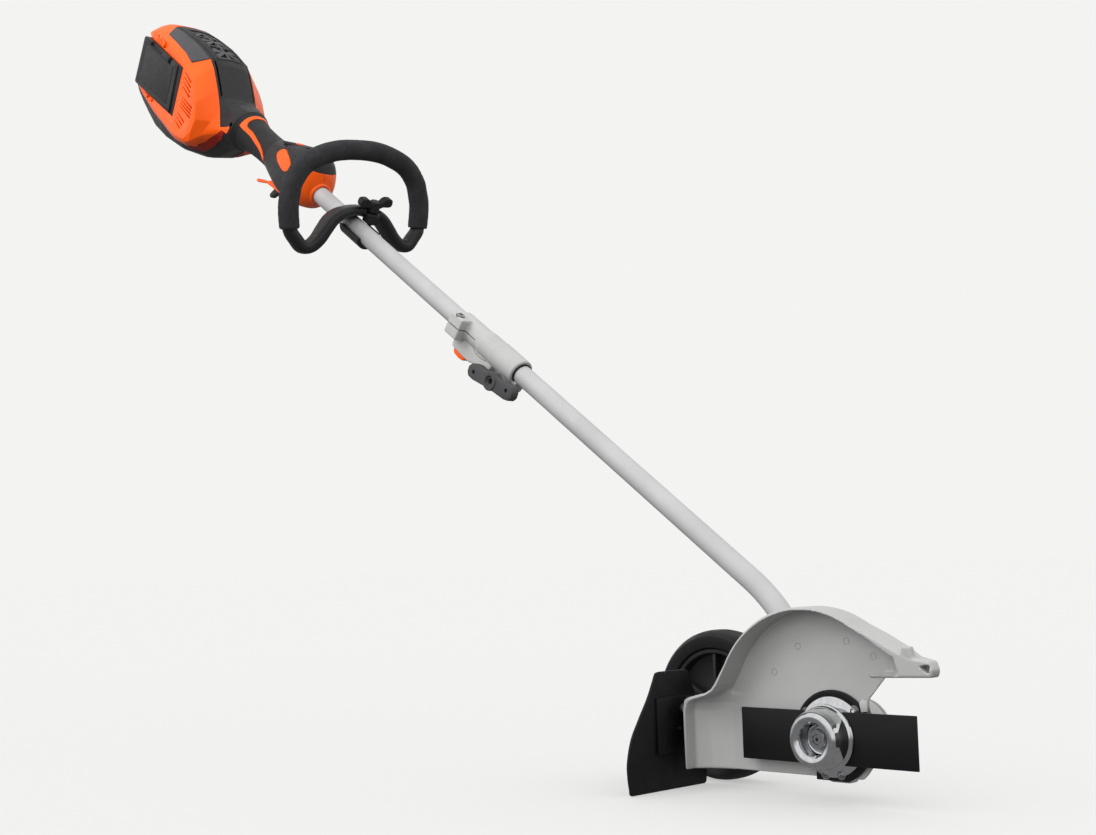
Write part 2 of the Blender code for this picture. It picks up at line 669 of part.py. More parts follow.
def merge(target, other):
    """Adds one bmesh's shape to another, and frees the first."""
    spare = bpy.data.meshes.new("spare")
    other.to_mesh(spare)
    other.free()
    target.from_mesh(spare)
    bpy.data.meshes.remove(spare)


def shaft_prism(outline, low, high, bm=None):
    """Extrudes an outline of (up, station) pairs across the shaft, in the shaft frame."""
    return prism(outline, low, high, "Y", bm)


# ---------------------------------------------------------------- loop handle

def loop_points():
    """The loop's middle line as (across, up), from the right sleeve end round the top to the left one."""
    half = [(103, -3), (105, 25), (102, 44), (97, 60), (81, 80), (57, 92), (31, 99)]
    return half + [(0, 101)] + [(-a, b) for a, b in half[::-1]]


def strap_points():
    """The strap below the sleeves, from the left sleeve end under both lobes and over the tube."""
    half = [(103, -3), (94, -17), (84, -27), (72, -26), (60, -17), (50, -4), (40, 8), (28, 16), (14, 20)]
    return [(-a, b) for a, b in half] + [(0, 21.5)] + half[::-1]


def strap_shape(height, width, count=8):
    """A flattened section: its height lies in the loop's plane and its width across it."""
    points = []
    for i in range(count):
        angle = 2 * math.pi * (i + 0.5) / count
        points.append((height / 2 * signed_power(math.cos(angle), 0.8), width / 2 * signed_power(math.sin(angle), 0.8)))
    return points


def plane_frames(points, closed=False):
    """Frames along a line in the loop's plane: the in-plane normal, and the plane's own normal as the up axis."""
    frames = []
    count = len(points)
    for i, (across, up) in enumerate(points):
        before = points[(i - 1) % count] if closed or i else points[0]
        after = points[(i + 1) % count] if closed or i < count - 1 else points[-1]
        along = Vector((after[1] - before[1], after[0] - before[0], 0)).normalized()
        frames.append((Vector((up, across, 0)), Vector((along.y, -along.x, 0)), Vector((0, 0, 1))))
    return frames


def make_loop(loop, shaft):
    top = loop_points()
    low = strap_points()
    round_part = top[:-1]
    strap_part = low[:-1]
    line = round_part + strap_part
    shapes = [strap_shape(2 * LOOP_CORE_R, 2 * LOOP_CORE_R)] * len(round_part)
    for across, _ in strap_part:
        share = min(1.0, max(0.0, (112 - abs(across)) / 34))
        flat = min(1.0, max(0.0, (72 - abs(across)) / 42))
        height = 2 * LOOP_CORE_R * (1 - share) + 17 * share
        height = height * (1 - flat) + 15 * flat
        width = 2 * LOOP_CORE_R * (1 - share) + 25 * share
        width = width * (1 - flat) + 36 * flat
        shapes.append(strap_shape(height, width))
    frames = plane_frames(line, closed=True)
    frame = add_part("loop_frame", sweep(frames, shapes, closed=True), "dark_plastic", loop)
    lean = Matrix.Rotation(LOOP_LEAN, 4, "Y").inverted()
    for helper, change in ((rod(11, 9, 23.7, 14, "X", KNOB_SEAT), join), (rod(11.6, 23.7, 70, 14, "X", KNOB_SEAT), cut),
                           (rod(TUBE_R + 0.6, -90, 90, 20), cut), (rod(3.4, -30, 70, 10, "X", KNOB_SEAT), cut)):
        helper.transform(lean)
        change(frame, helper)
    sleeve = plane_frames(top)
    outer = [strap_shape(2 * SLEEVE_R, 2 * SLEEVE_R)] * len(sleeve)
    inner = [strap_shape(2 * LOOP_CORE_R + 1.8, 2 * LOOP_CORE_R + 1.8)] * len(sleeve)
    body = sweep(sleeve + sleeve[::-1], outer + inner, closed=True)
    add_part("grip_sleeve", body, "foam", loop)


def make_loop_clamp(roll_frame):
    """The half clamp under the tube and the wing knob that pulls it up, in the rolled shaft frame."""
    low, high = LOOP_S - 34, LOOP_S + 12
    clamp = add_part("loop_clamp_lower", ring(TUBE_R - 1, 17.5, low, high, 24), "dark_plastic", roll_frame)
    join(clamp, block((-10, 12, LOOP_S - 20), (-1.5, 29, LOOP_S + 4), 1.0))
    cut(clamp, block((-1.2, -60, low - 5), (60, 60, high + 5)))
    cut(clamp, rod(TUBE_R + GAP, low - 5, high + 5, 22))
    place = (0, KNOB_SEAT[1], LOOP_S + KNOB_SEAT[2])
    cut(clamp, rod(3.4, -30, 10, 12, "X", place))
    cut(clamp, rod(6.5, -30, -9.9, 14, "X", place))
    stud = [(0, -13), (6, -13), (6, -10.3), (2.8, -10.3), (2.8, 24), (8, 24), (9, 32), (8, 42), (0, 42)]
    knob = add_part("loop_knob", turned(stud, 16, "X", place), "dark_plastic", roll_frame, place)
    join(knob, block((32.5, place[1] - 24, place[2] - 5), (44, place[1] + 24, place[2] + 5), 3.5))


# ---------------------------------------------------------------- controls and grip

def housing_rings(inset=0.0, count=20):
    """Sections of the control housing from its nose to the grip, drawn a set distance inside the surface."""
    rows = [(1043, 15, 15, -15, 2.0), (1048, 22, 25, -20, 2.2), (1054, 27.5, 34, -26, 2.3), (1061, 30.5, 43, -29, 2.4),
            (1070, 32, 48, -31, 2.5), (1084, 32.5, 50, -34, 2.5), (1100, 32, 47, -35, 2.5), (1118, 30.5, 40.5, -34, 2.4),
            (1142, 26.5, 31.5, -29, 2.2), (1164, 23, 25.5, -23, 2.0)]
    return [section(s, half, top, bottom, power, power, count, inset) for s, half, top, bottom, power in rows]


def shell_of(rings_function, inset=2.6, trim=0.0):
    """A closed wall between an outer loft and the same loft drawn inside it."""
    outer = rings_function(trim)
    inner = rings_function(inset)
    return loft(outer + inner[::-1], closed=True)


def make_controls(shaft):
    nose_line = [(28, 1000), (28, 1058), (-60, 1058), (-60, 1000)]
    nose = add_part("nose_cap", shell_of(housing_rings), "orange_plastic", shaft)
    keep(nose, shaft_prism(nose_line, -60, 60))
    cut(nose, rod(TUBE_R + GAP, 1000, 1090, 20))
    housing = add_part("control_housing", shell_of(housing_rings), "dark_plastic", shaft)
    g = GAP
    rest = [(28 + g, 1000), (28 + g, 1058 + g), (-60, 1058 + g), (-60, 1170)]
    rest += [(80, 1170), (80, 1000)]
    keep(housing, shaft_prism(rest, -60, 60))
    cut(housing, shaft_prism([(60, 1082), (46.5, 1082), (28.5, 1146), (60, 1146)], -15.3, 15.3))
    cut(housing, block((-60, -11, 1106), (-10, 11, 1156)))
    panel = shaft_prism([(50, 1082.3), (46.8, 1082.3), (28.8, 1145.7), (32, 1145.7)], -15, 15)
    keypad = add_part("keypad_panel", panel, "black_plastic", shaft)
    slope = math.atan2(18, 63.4)
    for name, s in (("power_button", 1100), ("mode_button", 1126)):
        level = 50 - (s - 1082.3) * 18 / 63.4
        place = (level, 0, s)
        hole = rod(6.3, -9, 9, 14, "X")
        button = rod(6.0, -1.6, 1.0, 14, "X", chamfer=0.4)
        for shape in (hole, button):
            shape.transform(Matrix.Translation(place) @ Matrix.Rotation(-slope, 4, "Y"))
        cut(keypad, hole)
        add_part(name, button, "orange_plastic" if name == "mode_button" else "dark_plastic", shaft, place)
    make_inlays(shaft, housing)
    make_trigger(shaft)
    return housing


def make_inlays(shaft, housing):
    """The teardrop trims let into both sides of the housing."""
    drop = [(28, 1122), (23, 1130), (16, 1132), (10, 1122), (5, 1100), (8, 1090), (16, 1086), (22, 1090), (27, 1105)]
    grown = [(29.2, 1122.5), (23.6, 1131.4), (15.4, 1133.6), (9, 1122.6), (3.8, 1100), (7, 1089), (16, 1084.7)]
    grown += [(23, 1089), (28.2, 1104.5)]
    for side, name in ((-1, "side_inlay_right"), (1, "side_inlay_left")):
        low, high = sorted((side * 12, side * 60))
        inlay = add_part(name, shell_of(housing_rings, 1.6, -0.4), "orange_plastic", shaft)
        keep(inlay, shaft_prism(drop, low, high))
        pocket = shell_of(housing_rings, 1.6 + GAP, -5)
        clip = tool(pocket, shaft, "pocket")
        boolean(clip, tool(shaft_prism(grown, low, high), shaft, "region"), "INTERSECT")
        boolean(housing, clip, "DIFFERENCE")


def make_trigger(shaft):
    """The long throttle lever under the grip and the lockout lever that hangs behind it, on one pin."""
    pivot = (-22, 0, 1116)
    lever = [(-15, 1109), (-15, 1122), (-22, 1134), (-36, 1156), (-42, 1178), (-46, 1179), (-46, 1174)]
    lever += [(-38, 1154), (-37, 1136), (-36, 1112), (-28, 1108)]
    trigger = add_part("throttle_trigger", shaft_prism(lever, -10.5, 2.8), "orange_plastic", shaft, pivot)
    cut(trigger, rod(2.1, -20, 20, 12, "Y", pivot))
    lock = [(-15, 1111), (-15, 1122), (-22, 1136), (-30, 1144), (-55, 1157), (-58, 1153), (-57, 1149), (-42, 1136)]
    lock += [(-30, 1112)]
    lockout = add_part("trigger_lockout", shaft_prism(lock, 3.3, 10.3), "black_plastic", shaft, pivot)
    cut(lockout, rod(2.1, 0, 20, 12, "Y", pivot))
    add_part("lever_pin", rod(2.0, -14, 14, 12, "Y", pivot), "steel", shaft)


def grip_rings(inset=0.0, count=18):
    rows = [(1164.3, 22.5, 25, -22), (1180, 21.5, 23.5, -21.5), (1205, 21.5, 23.5, -22), (1226, 23, 24.5, -24)]
    rows += [(1242, 26, 27, -27)]
    return [section(s, half, top, bottom, 2.1, 2.1, count, inset) for s, half, top, bottom in rows]


def make_grip(shaft):
    """The rear grip round the tube and the raised trim that runs down both its sides and over its rear end."""
    strip = [(-11, 1164.6), (-5, 1164.6), (6, 1190), (12, 1226), (13, 1236), (60, 1236), (60, 1241.6), (7, 1241.6)]
    strip += [(6, 1228), (0, 1191)]
    grown = [(-11.4, 1164), (-4.6, 1164), (6.4, 1189.8), (12.4, 1225.8), (13.3, 1235.7), (70, 1235.7), (70, 1250)]
    grown += [(6.7, 1250), (5.6, 1228.2), (-0.4, 1191.2)]
    grip = add_part("rear_grip", shell_of(grip_rings, 8.0), "foam", shaft)
    pocket = tool(shell_of(grip_rings, 1.6 + GAP, -5), shaft, "pocket")
    boolean(pocket, tool(shaft_prism(grown, -50, 50), shaft, "region"), "INTERSECT")
    boolean(grip, pocket, "DIFFERENCE")
    trim = add_part("grip_trim", shell_of(grip_rings, 1.6, -0.8), "orange_plastic", shaft)
    keep(trim, shaft_prism(strip, -50, 50))


# ---------------------------------------------------------------- power head

HEAD_ROWS = [
    # s, then half of the section as (y, t): top, crown edge, spine edge, panel edge, ridge, lower ridge, lip, belly, bottom
    (1242.4, (0, 27.5), (11, 25.4), (19.5, 19), (24.8, 10), (26.5, 1), (25.4, -9), (20.5, -18), (11.5, -25), (0, -27.5)),
    (1254, (0, 30), (15, 28.5), (25, 21), (31, 7), (33, -3), (32, -12), (27, -20), (16, -27), (0, -31)),
    (1276, (0, 30), (17, 29), (27, 20), (31.7, -10), (34, -13), (34.2, -16), (33, -21), (22, -38), (0, -45)),
    (1291, (0, 27), (17, 26), (27, 21), (31.8, 11), (41, -11), (45, -24), (47, -33), (29, -51), (0, -57)),
    (1302, (0, 28), (17, 27.5), (27, 26), (31.8, 22), (60, -16), (60.5, -34), (58, -50), (31, -60), (0, -66)),
    (1313, (0, 38), (17, 37.5), (27, 35.5), (31.8, 32), (60.5, 7), (60.5, -52), (57, -57), (32, -68), (0, -73)),
    (1328, (0, 51), (18, 50), (27.5, 47.5), (31.9, 44), (60.5, 19), (60, -55), (54, -62), (33, -74), (0, -79)),
    (1342, (0, 63), (18, 61.5), (28, 58.5), (31.9, 54.5), (60, 28), (59.5, -57), (54, -65), (33, -78), (0, -83)),
    (1356, (0, 70), (19, 68.5), (28, 65.5), (32, 61.5), (58.5, 34), (58.7, -57), (53, -66), (33, -80), (0, -86)),
    (1400, (0, 75), (19, 73.5), (28.3, 70.5), (32, 66.5), (55.5, 44), (55.2, -53), (50, -64), (34, -84), (0, -91)),
    (1440, (0, 73.5), (19, 72), (28.4, 69.5), (32, 66.5), (53.7, 46), (53.2, -49), (48, -62), (33, -83), (0, -90)),
    (1475, (0, 69.5), (19, 68.5), (28.4, 66.5), (32, 64), (52.2, 46), (51.7, -46), (45, -60), (30, -76), (0, -83)),
    (1500, (0, 62.5), (19, 61.5), (28, 60), (31.9, 57.5), (50.2, 44), (49.7, -42), (42, -54), (26, -66), (0, -72)),
    (HEAD_REAR, (0, 52), (19, 51), (28, 49), (31, 46.5), (43, 36), (42, -36), (36, -46), (22, -54), (0, -58)),
]


def offset_inward(points, distance):
    """A convex outline, anticlockwise, with each side moved inward by a distance."""
    made = []
    for i, here in enumerate(points):
        before, after = points[i - 1], points[(i + 1) % len(points)]
        first = (here - before).normalized()
        second = (after - here).normalized()
        normal = Vector((-first.y, first.x)) + Vector((-second.y, second.x))
        scale = max(0.5, normal.dot(Vector((-first.y, first.x))))
        made.append(here + normal * (distance / scale))
    return made


def head_rings(inset=0.0):
    """Sections of the power head from the neck to the rear, drawn a set distance inside the surface."""
    made = []
    for s, *half in HEAD_ROWS:
        outline = [Vector((t, y)) for y, t in half]
        outline += [Vector((t, -y)) for y, t in half[-2:0:-1]]
        depth = min(s, HEAD_REAR - inset)
        made.append([Vector((p.x, p.y, depth)) for p in offset_inward(outline, inset)])
    return made


def head_shell(inset=SHELL, trim=0.0):
    """The head's wall: open at the neck and closed at the rear."""
    bm = loft(head_rings(trim))
    inner = loft([[p - Vector((0, 0, 1 if i == 0 else 0)) for p in one] for i, one in enumerate(head_rings(inset))])
    return bm, inner


PANEL_LINE = [(-12, 1200), (-12, 1268), (-17, 1273), (-42, 1291), (-57, 1303), (-63, 1318), (-64, 1341)]
PANEL_LINE += [(-58, 1429), (-48, 1473), (-42, 1494), (-40, 1540)]
SEAM_LINE = [(60, 1200), (60, 1290), (31, 1298), (14, 1312), (22, 1345), (22, 1475.5)]
SPINE_END = 1476.0


def battery_outline(grow=0.0):
    """The battery's side view as (t, s): both ends lean forward towards the bottom."""
    low, high = BATTERY_LOW - grow, BATTERY_HIGH + grow
    front = [BATTERY_FRONT - grow + BATTERY_LEAN * (t - BATTERY_HIGH) for t in (low, high)]
    rear = [BATTERY_REAR + BATTERY_LEAN * (t - BATTERY_HIGH) * 0.75 for t in (high, low)]
    return [(low, front[0]), (high, front[1]), (high, rear[0]), (low, rear[1])]


def battery_slot():
    """The opening that the battery slides out of, through both sides and the rear of the head."""
    (low, front_low), (high, front_high), _, _ = battery_outline(GAP)
    return shaft_prism([(low, front_low), (high, front_high), (high, 1600), (low, 1600)], -90, 90)


def make_side_shells(shaft):
    outline = PANEL_LINE + [(120, 1540), (120, 1200)]
    rear = [(BATTERY_HIGH, SPINE_END), (120, SPINE_END), (120, 1540), (BATTERY_HIGH, 1540)]
    for side, name in ((-1, "side_shell_right"), (1, "side_shell_left")):
        outer, inner = head_shell()
        shell = add_part(name, outer, "orange_plastic", shaft)
        cut(shell, inner)
        low, high = sorted((side * (SPINE_HALF + GAP), side * 90))
        region = tool(shaft_prism(outline, low, high), shaft, "region")
        low, high = sorted((side * 0.15, side * 60))
        boolean(region, tool(shaft_prism(rear, low, high), shaft, "region"), "UNION")
        boolean(shell, region, "INTERSECT")
        cut(shell, battery_slot())
        if side < 0:
            cut(shell, latch_pockets())


def make_top_spine(shaft):
    """The dark spine along the top, and the slotted grille let into it."""
    outline = [(t + GAP, s) for t, s in SEAM_LINE] + [(120, 1475.5), (120, 1200)]
    outer, inner = head_shell(trim=0.6)
    top = add_part("top_spine", outer, "dark_plastic", shaft)
    cut(top, inner)
    keep(top, shaft_prism(outline, -SPINE_HALF, SPINE_HALF))
    cut(top, block((50, -23.5, 1351.7), (120, 23.5, 1460.3)))
    grille = add_part("top_grille", loft(head_rings(-0.6)[7:12]), "black_plastic", shaft)
    keep(grille, block((50, -23.2, 1352), (120, 23.2, 1460)))
    cut(grille, loft(head_rings(3.0)[6:13]))
    slots = bmesh.new()
    for i in range(5):
        block((50, -17.5, 1363 + 18.4 * i), (120, -2, 1373 + 18.4 * i), bm=slots)
        block((50, 2, 1363 + 18.4 * i), (120, 17.5, 1373 + 18.4 * i), bm=slots)
    cut(grille, slots)


def make_motor_housing(shaft):
    """The dark lower housing, with the collar that holds the tube and the plate that carries the motor."""
    below = [(-120, 1200)] + [(t - GAP, s) for t, s in PANEL_LINE] + [(-120, 1540)]
    region = tool(shaft_prism(below, -90, 90), shaft, "region")
    middle = SEAM_LINE + [(-60, 1475.5), (-60, 1200)]
    boolean(region, tool(shaft_prism(middle, -SPINE_HALF, SPINE_HALF), shaft, "region"), "UNION")
    outer, inner = head_shell(trim=0.6)
    housing = add_part("motor_housing", outer, "dark_plastic", shaft)
    cut(housing, inner)
    boolean(housing, region, "INTERSECT")
    cut(housing, battery_slot())
    collar = [(TUBE_R + GAP, 1243), (25.7, 1243), (31, 1250), (31, 1252), (TUBE_R + GAP, 1257)]
    join(housing, turned(collar, 22))
    plate = tool(ring(12, 70, 1301, 1305.6, 18), shaft, "plate")
    boolean(plate, tool(block((-60, -31.5, 1290), (19, 31.5, 1320)), shaft, "region"), "INTERSECT")
    boolean(plate, tool(loft(head_rings(1.5)), shaft, "region"), "INTERSECT")
    boolean(housing, plate, "UNION")


LATCHES = (("battery_latch_upper", (36, -54, 1450), (45, -42, 1480)),
           ("battery_latch_lower", (-46, -54, 1436), (-41.5, -43, 1462)))


def latch_pockets():
    bm = bmesh.new()
    grow = Vector((GAP, 20, GAP))
    for _, low, high in LATCHES:
        block(Vector(low) - grow, Vector(high) + grow, bm=bm)
    return bm


def make_battery(shaft):
    pack = shaft_prism(battery_outline(), -BATTERY_HALF, BATTERY_HALF)
    bmesh.ops.bevel(pack, geom=pack.edges[:], offset=3.5, segments=1, affect="EDGES", profile=0.5)
    add_part("battery_pack", pack, "dark_plastic", shaft)
    for name, low, high in LATCHES:
        middle = (Vector(low) + Vector(high)) / 2
        add_part(name, block(low, high, 1.2), "orange_plastic", shaft, middle)


def make_motor(shaft):
    stator = ring(9.5, 21, 1314, 1342, 18)
    made = add_part("motor_stator", stator, "copper", shaft)
    join(made, ring(9.5, 25, 1306, 1310, 16))
    join(made, ring(9.5, 14, 1309, 1320, 16))
    bell = [(0, 1292.4), (5, 1292.4), (5, 1348), (22.5, 1348), (22.5, 1312), (27, 1312), (27, 1352), (5, 1352)]
    bell += [(5, 1364), (0, 1364)]
    add_part("motor_rotor", turned(bell, 20), "steel", shaft)
    fan = ring(5.2, 9, 1352.4, 1361, 14)
    made = add_part("cooling_fan", fan, "black_plastic", shaft)
    join(made, ring(8, 29, 1352.4, 1354, 18))
    blades = bmesh.new()
    for i in range(7):
        vane = block((8.5, -0.7, 1353.5), (28, 0.7, 1360))
        vane.transform(Matrix.Rotation(2 * math.pi * i / 7, 4, "Z"))
        merge(blades, vane)
    join(made, blades)
    add_part("motor_bearing", ring(5.15, 9.2, 1307, 1341, 16), "steel", shaft)


def main():
    clear_scene()
    edger = empty("edger_frame", location=BLADE_CENTRE)
    shaft_base = Vector(BLADE_CENTRE) + Vector((0, SHAFT_PLANE_Y, SHAFT_DROP))
    shaft = empty("shaft_frame", location=shaft_base, rotation=(0, -(math.pi / 2 - SHAFT_TILT), 0))
    rolled = empty("handle_roll_frame", shaft, rotation=(0, 0, -LOOP_ROLL))
    loop = empty("loop_frame_axis", rolled, (0, 0, LOOP_S), (0, LOOP_LEAN, 0))
    make_guard(edger)
    make_gear_case(edger)
    make_gear_cover(edger)
    make_gears(edger)
    make_spindle(edger)
    make_wheel(edger)
    make_wheel_arm(edger)
    make_flap(edger)
    make_lower_shaft(edger)
    make_upper_shaft(shaft)
    make_coupler(shaft)
    make_loop(loop, shaft)
    make_loop_clamp(rolled)
    make_controls(shaft)
    make_grip(shaft)
    make_side_shells(shaft)
    make_top_spine(shaft)
    make_motor_housing(shaft)
    make_battery(shaft)
    make_motor(shaft)


main()
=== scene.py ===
import json
import math

import bmesh
import bpy
from mathutils import Matrix, Vector, noise

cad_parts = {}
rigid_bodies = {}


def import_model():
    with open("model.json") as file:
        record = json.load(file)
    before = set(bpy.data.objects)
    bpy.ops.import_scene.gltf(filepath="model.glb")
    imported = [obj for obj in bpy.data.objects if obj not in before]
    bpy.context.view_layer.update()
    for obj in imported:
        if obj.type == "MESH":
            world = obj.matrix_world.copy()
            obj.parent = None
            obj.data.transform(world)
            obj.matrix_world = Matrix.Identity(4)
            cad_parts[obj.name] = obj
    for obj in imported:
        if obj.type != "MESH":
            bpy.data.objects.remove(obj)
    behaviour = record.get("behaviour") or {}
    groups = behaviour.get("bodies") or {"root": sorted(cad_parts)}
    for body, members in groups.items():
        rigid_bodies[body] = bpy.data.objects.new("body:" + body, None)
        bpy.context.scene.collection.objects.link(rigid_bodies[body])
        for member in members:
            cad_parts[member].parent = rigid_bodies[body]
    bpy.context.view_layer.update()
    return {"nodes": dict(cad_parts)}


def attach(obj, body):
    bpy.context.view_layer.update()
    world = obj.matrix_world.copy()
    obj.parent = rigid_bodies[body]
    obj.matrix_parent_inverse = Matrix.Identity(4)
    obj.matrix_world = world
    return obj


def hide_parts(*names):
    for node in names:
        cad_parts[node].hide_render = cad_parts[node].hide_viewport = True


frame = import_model()
NODES = frame["nodes"]

MM = 0.001

# Frames, as the CAD has them, in millimetres: the blade's centre, and the shaft's own axes with
# X across the top of the shaft, Y to the left and Z along the shaft from the edger to the power head.
# The shaft's axis passes beside the blade's centre by SHAFT_SIDE, and over it by SHAFT_RISE.
BLADE = Vector((560.6, -37.9, 62.0))
SHAFT_TILT = math.radians(36.63)
SHAFT_SIDE = 40.25
SHAFT_RISE = 66.72
SHAFT = Matrix.Translation(BLADE + Vector((0, SHAFT_SIDE, SHAFT_RISE)))
SHAFT = SHAFT @ Matrix.Rotation(SHAFT_TILT - math.pi / 2, 4, "Y")
EDGER = Matrix.Translation(BLADE)


# ---------------------------------------------------------------- materials

def srgb(r, g, b):
    def one(c):
        c /= 255
        return c / 12.92 if c <= 0.04045 else ((c + 0.055) / 1.055) ** 2.4
    return one(r), one(g), one(b), 1.0


class Finish:
    """A material with its colour, roughness and fine relief from noise in object space."""

    def __init__(self, name):
        self.mat = bpy.data.materials.new(name)
        self.mat.use_nodes = True
        self.tree = self.mat.node_tree
        self.bsdf = next(n for n in self.tree.nodes if n.type == "BSDF_PRINCIPLED")
        self.coords = self.tree.nodes.new("ShaderNodeTexCoord").outputs["Object"]

    def node(self, kind, **values):
        made = self.tree.nodes.new(kind)
        for key, value in values.items():
            if key in made.inputs:
                made.inputs[key].default_value = value
            else:
                setattr(made, key, value)
        return made

    def link(self, a, b):
        self.tree.links.new(a, b)

    def noise(self, scale, detail=3.0, rough=0.55, stretch=None):
        made = self.node("ShaderNodeTexNoise", Scale=scale, Detail=detail, Roughness=rough)
        source = self.coords
        if stretch:
            mapping = self.node("ShaderNodeMapping", Scale=stretch)
            self.link(source, mapping.inputs["Vector"])
            source = mapping.outputs["Vector"]
        self.link(source, made.inputs["Vector"])
        return made.outputs["Fac"]

    def colour(self, field, low, high, start=0.35, end=0.65):
        ramp = self.node("ShaderNodeValToRGB")
        ramp.color_ramp.elements[0].position = start
        ramp.color_ramp.elements[0].color = low
        ramp.color_ramp.elements[1].position = end
        ramp.color_ramp.elements[1].color = high
        self.link(field, ramp.inputs["Fac"])
        self.link(ramp.outputs["Color"], self.bsdf.inputs["Base Color"])
        return ramp.outputs["Color"]

    def rough(self, field, low, high):
        spread = self.node("ShaderNodeMapRange")
        spread.inputs["From Min"].default_value = 0.3
        spread.inputs["From Max"].default_value = 0.7
        spread.inputs["To Min"].default_value = low
        spread.inputs["To Max"].default_value = high
        self.link(field, spread.inputs["Value"])
        self.link(spread.outputs["Result"], self.bsdf.inputs["Roughness"])

    def bump(self, field, strength, distance):
        made = self.node("ShaderNodeBump", Strength=strength, Distance=distance)
        self.link(field, made.inputs["Height"])
        self.link(made.outputs["Normal"], self.bsdf.inputs["Normal"])

    def set(self, **values):
        for key, value in values.items():
            self.bsdf.inputs[key.replace("_", " ")].default_value = value
        return self


def shade(colour, factor):
    return tuple(c * factor for c in colour[:3]) + (1.0,)


def moulded(name, colour, low, high, grain=2600.0, relief=0.0002, vary=0.10, strength=0.25):
    """Moulded plastic: a faint drift of colour, and the fine spark-eroded grain of its mould."""
    f = Finish(name)
    drift = f.noise(22, 3)
    f.colour(drift, shade(colour, 1 - vary), shade(colour, 1 + vary * 0.4))
    f.rough(f.noise(140, 4), low, high)
    f.bump(f.noise(grain, 2), strength, relief)
    return f.mat


def painted(name, colour, low, high, metallic=0.0, grain=900.0, strength=0.12, relief=0.0004, vary=0.06):
    """Powder coat over metal, with the slight orange peel of its surface."""
    f = Finish(name)
    f.colour(f.noise(16, 4), shade(colour, 1 - vary), shade(colour, 1 + vary * 0.5))
    f.rough(f.noise(90, 4), low, high)
    f.bump(f.noise(grain, 2), strength, relief)
    f.set(Metallic=metallic)
    return f.mat


def foam_finish():
    f = Finish("closed_cell_foam")
    cells = f.node("ShaderNodeTexVoronoi", Scale=1400.0)
    f.link(f.coords, cells.inputs["Vector"])
    base = srgb(48, 48, 50)
    f.colour(f.noise(60, 5), shade(base, 0.78), shade(base, 1.18))
    f.rough(f.noise(200, 3), 0.82, 0.95)
    f.bump(cells.outputs["Distance"], 0.55, 0.0006)
    return f.mat


def rubber_finish(name, colour, grain=420.0):
    f = Finish(name)
    f.colour(f.noise(30, 5), shade(colour, 0.8), shade(colour, 1.25))
    f.rough(f.noise(70, 4), 0.5, 0.72)
    f.bump(f.noise(grain, 4), 0.18, 0.0006)
    return f.mat


def steel_finish(name, colour, low, high, stretch=(1, 1, 60), metallic=1.0, strength=0.08):
    """Machined steel: fine scratches drawn out along one axis."""
    f = Finish(name)
    grain = f.noise(160, 5, 0.6, stretch)
    f.colour(grain, shade(colour, 0.86), shade(colour, 1.05))
    f.rough(grain, low, high)
    f.bump(grain, strength, 0.0002)
    f.set(Metallic=metallic)
    return f.mat


def cast_finish():
    """Satin silver coat on the cast guard: pale, slightly metallic, with the casting's soft unevenness."""
    f = Finish("satin_cast_silver")
    base = srgb(190, 190, 189)
    f.colour(f.noise(9, 5, 0.6), shade(base, 0.90), shade(base, 1.04), 0.3, 0.7)
    f.rough(f.noise(40, 5), 0.34, 0.50)
    f.bump(f.noise(1100, 3), 0.16, 0.0004)
    f.set(Metallic=0.3)
    return f.mat


ORANGE = srgb(255, 94, 2)
M = {
    "orange": moulded("orange_moulded_plastic", ORANGE, 0.30, 0.42, vary=0.05),
    # The orange darkened into painted shade: it stands for the shadow inside the vent slots and along the
    # side shell's lip.
    "orange_painted_shade": moulded("orange_painted_recess_shade", srgb(150, 26, 4), 0.42, 0.55, vary=0.08),
    "dark": moulded("dark_grey_plastic", srgb(36, 36, 38), 0.42, 0.56, grain=2200, relief=0.0003,
            strength=0.35),
    "dark_soft": moulded("dark_grip_rubber", srgb(34, 34, 36), 0.55, 0.68, grain=1700, relief=0.0004,
            strength=0.4),
    "black": moulded("black_plastic", srgb(24, 24, 25), 0.38, 0.52, grain=2400),
    "loop_plastic": moulded("loop_black_plastic", srgb(26, 26, 28), 0.36, 0.48, grain=2200, strength=0.3),
    "lamp": moulded("level_lamp_lens", srgb(120, 122, 120), 0.2, 0.3, vary=0.05),
    "panel": moulded("grille_plastic", srgb(70, 70, 72), 0.45, 0.6, grain=2200, relief=0.0003, strength=0.35),
    "foam": foam_finish(),
    "rubber": rubber_finish("flap_rubber", srgb(9, 9, 10)),
    "tyre": rubber_finish("tyre_rubber", srgb(20, 20, 21), 600),
    "tube": painted("tube_silver_paint", srgb(190, 190, 190), 0.48, 0.58, 0.2),
    "cast": cast_finish(),
    "cast_small": painted("coupler_cast_silver", srgb(188, 188, 187), 0.46, 0.6, 0.2, 1200, 0.25),
    "chrome": steel_finish("polished_chrome", srgb(232, 233, 235), 0.04, 0.08, (1, 1, 1), 1.0, 0.0),
    "steel": steel_finish("machined_steel", srgb(176, 177, 180), 0.22, 0.38),
    "black_steel": painted("blackened_steel", srgb(19, 19, 20), 0.38, 0.5, 0.3, 1300, 0.15),
    "winding": steel_finish("enamelled_winding", srgb(168, 92, 48), 0.3, 0.45, (1, 40, 1)),
}

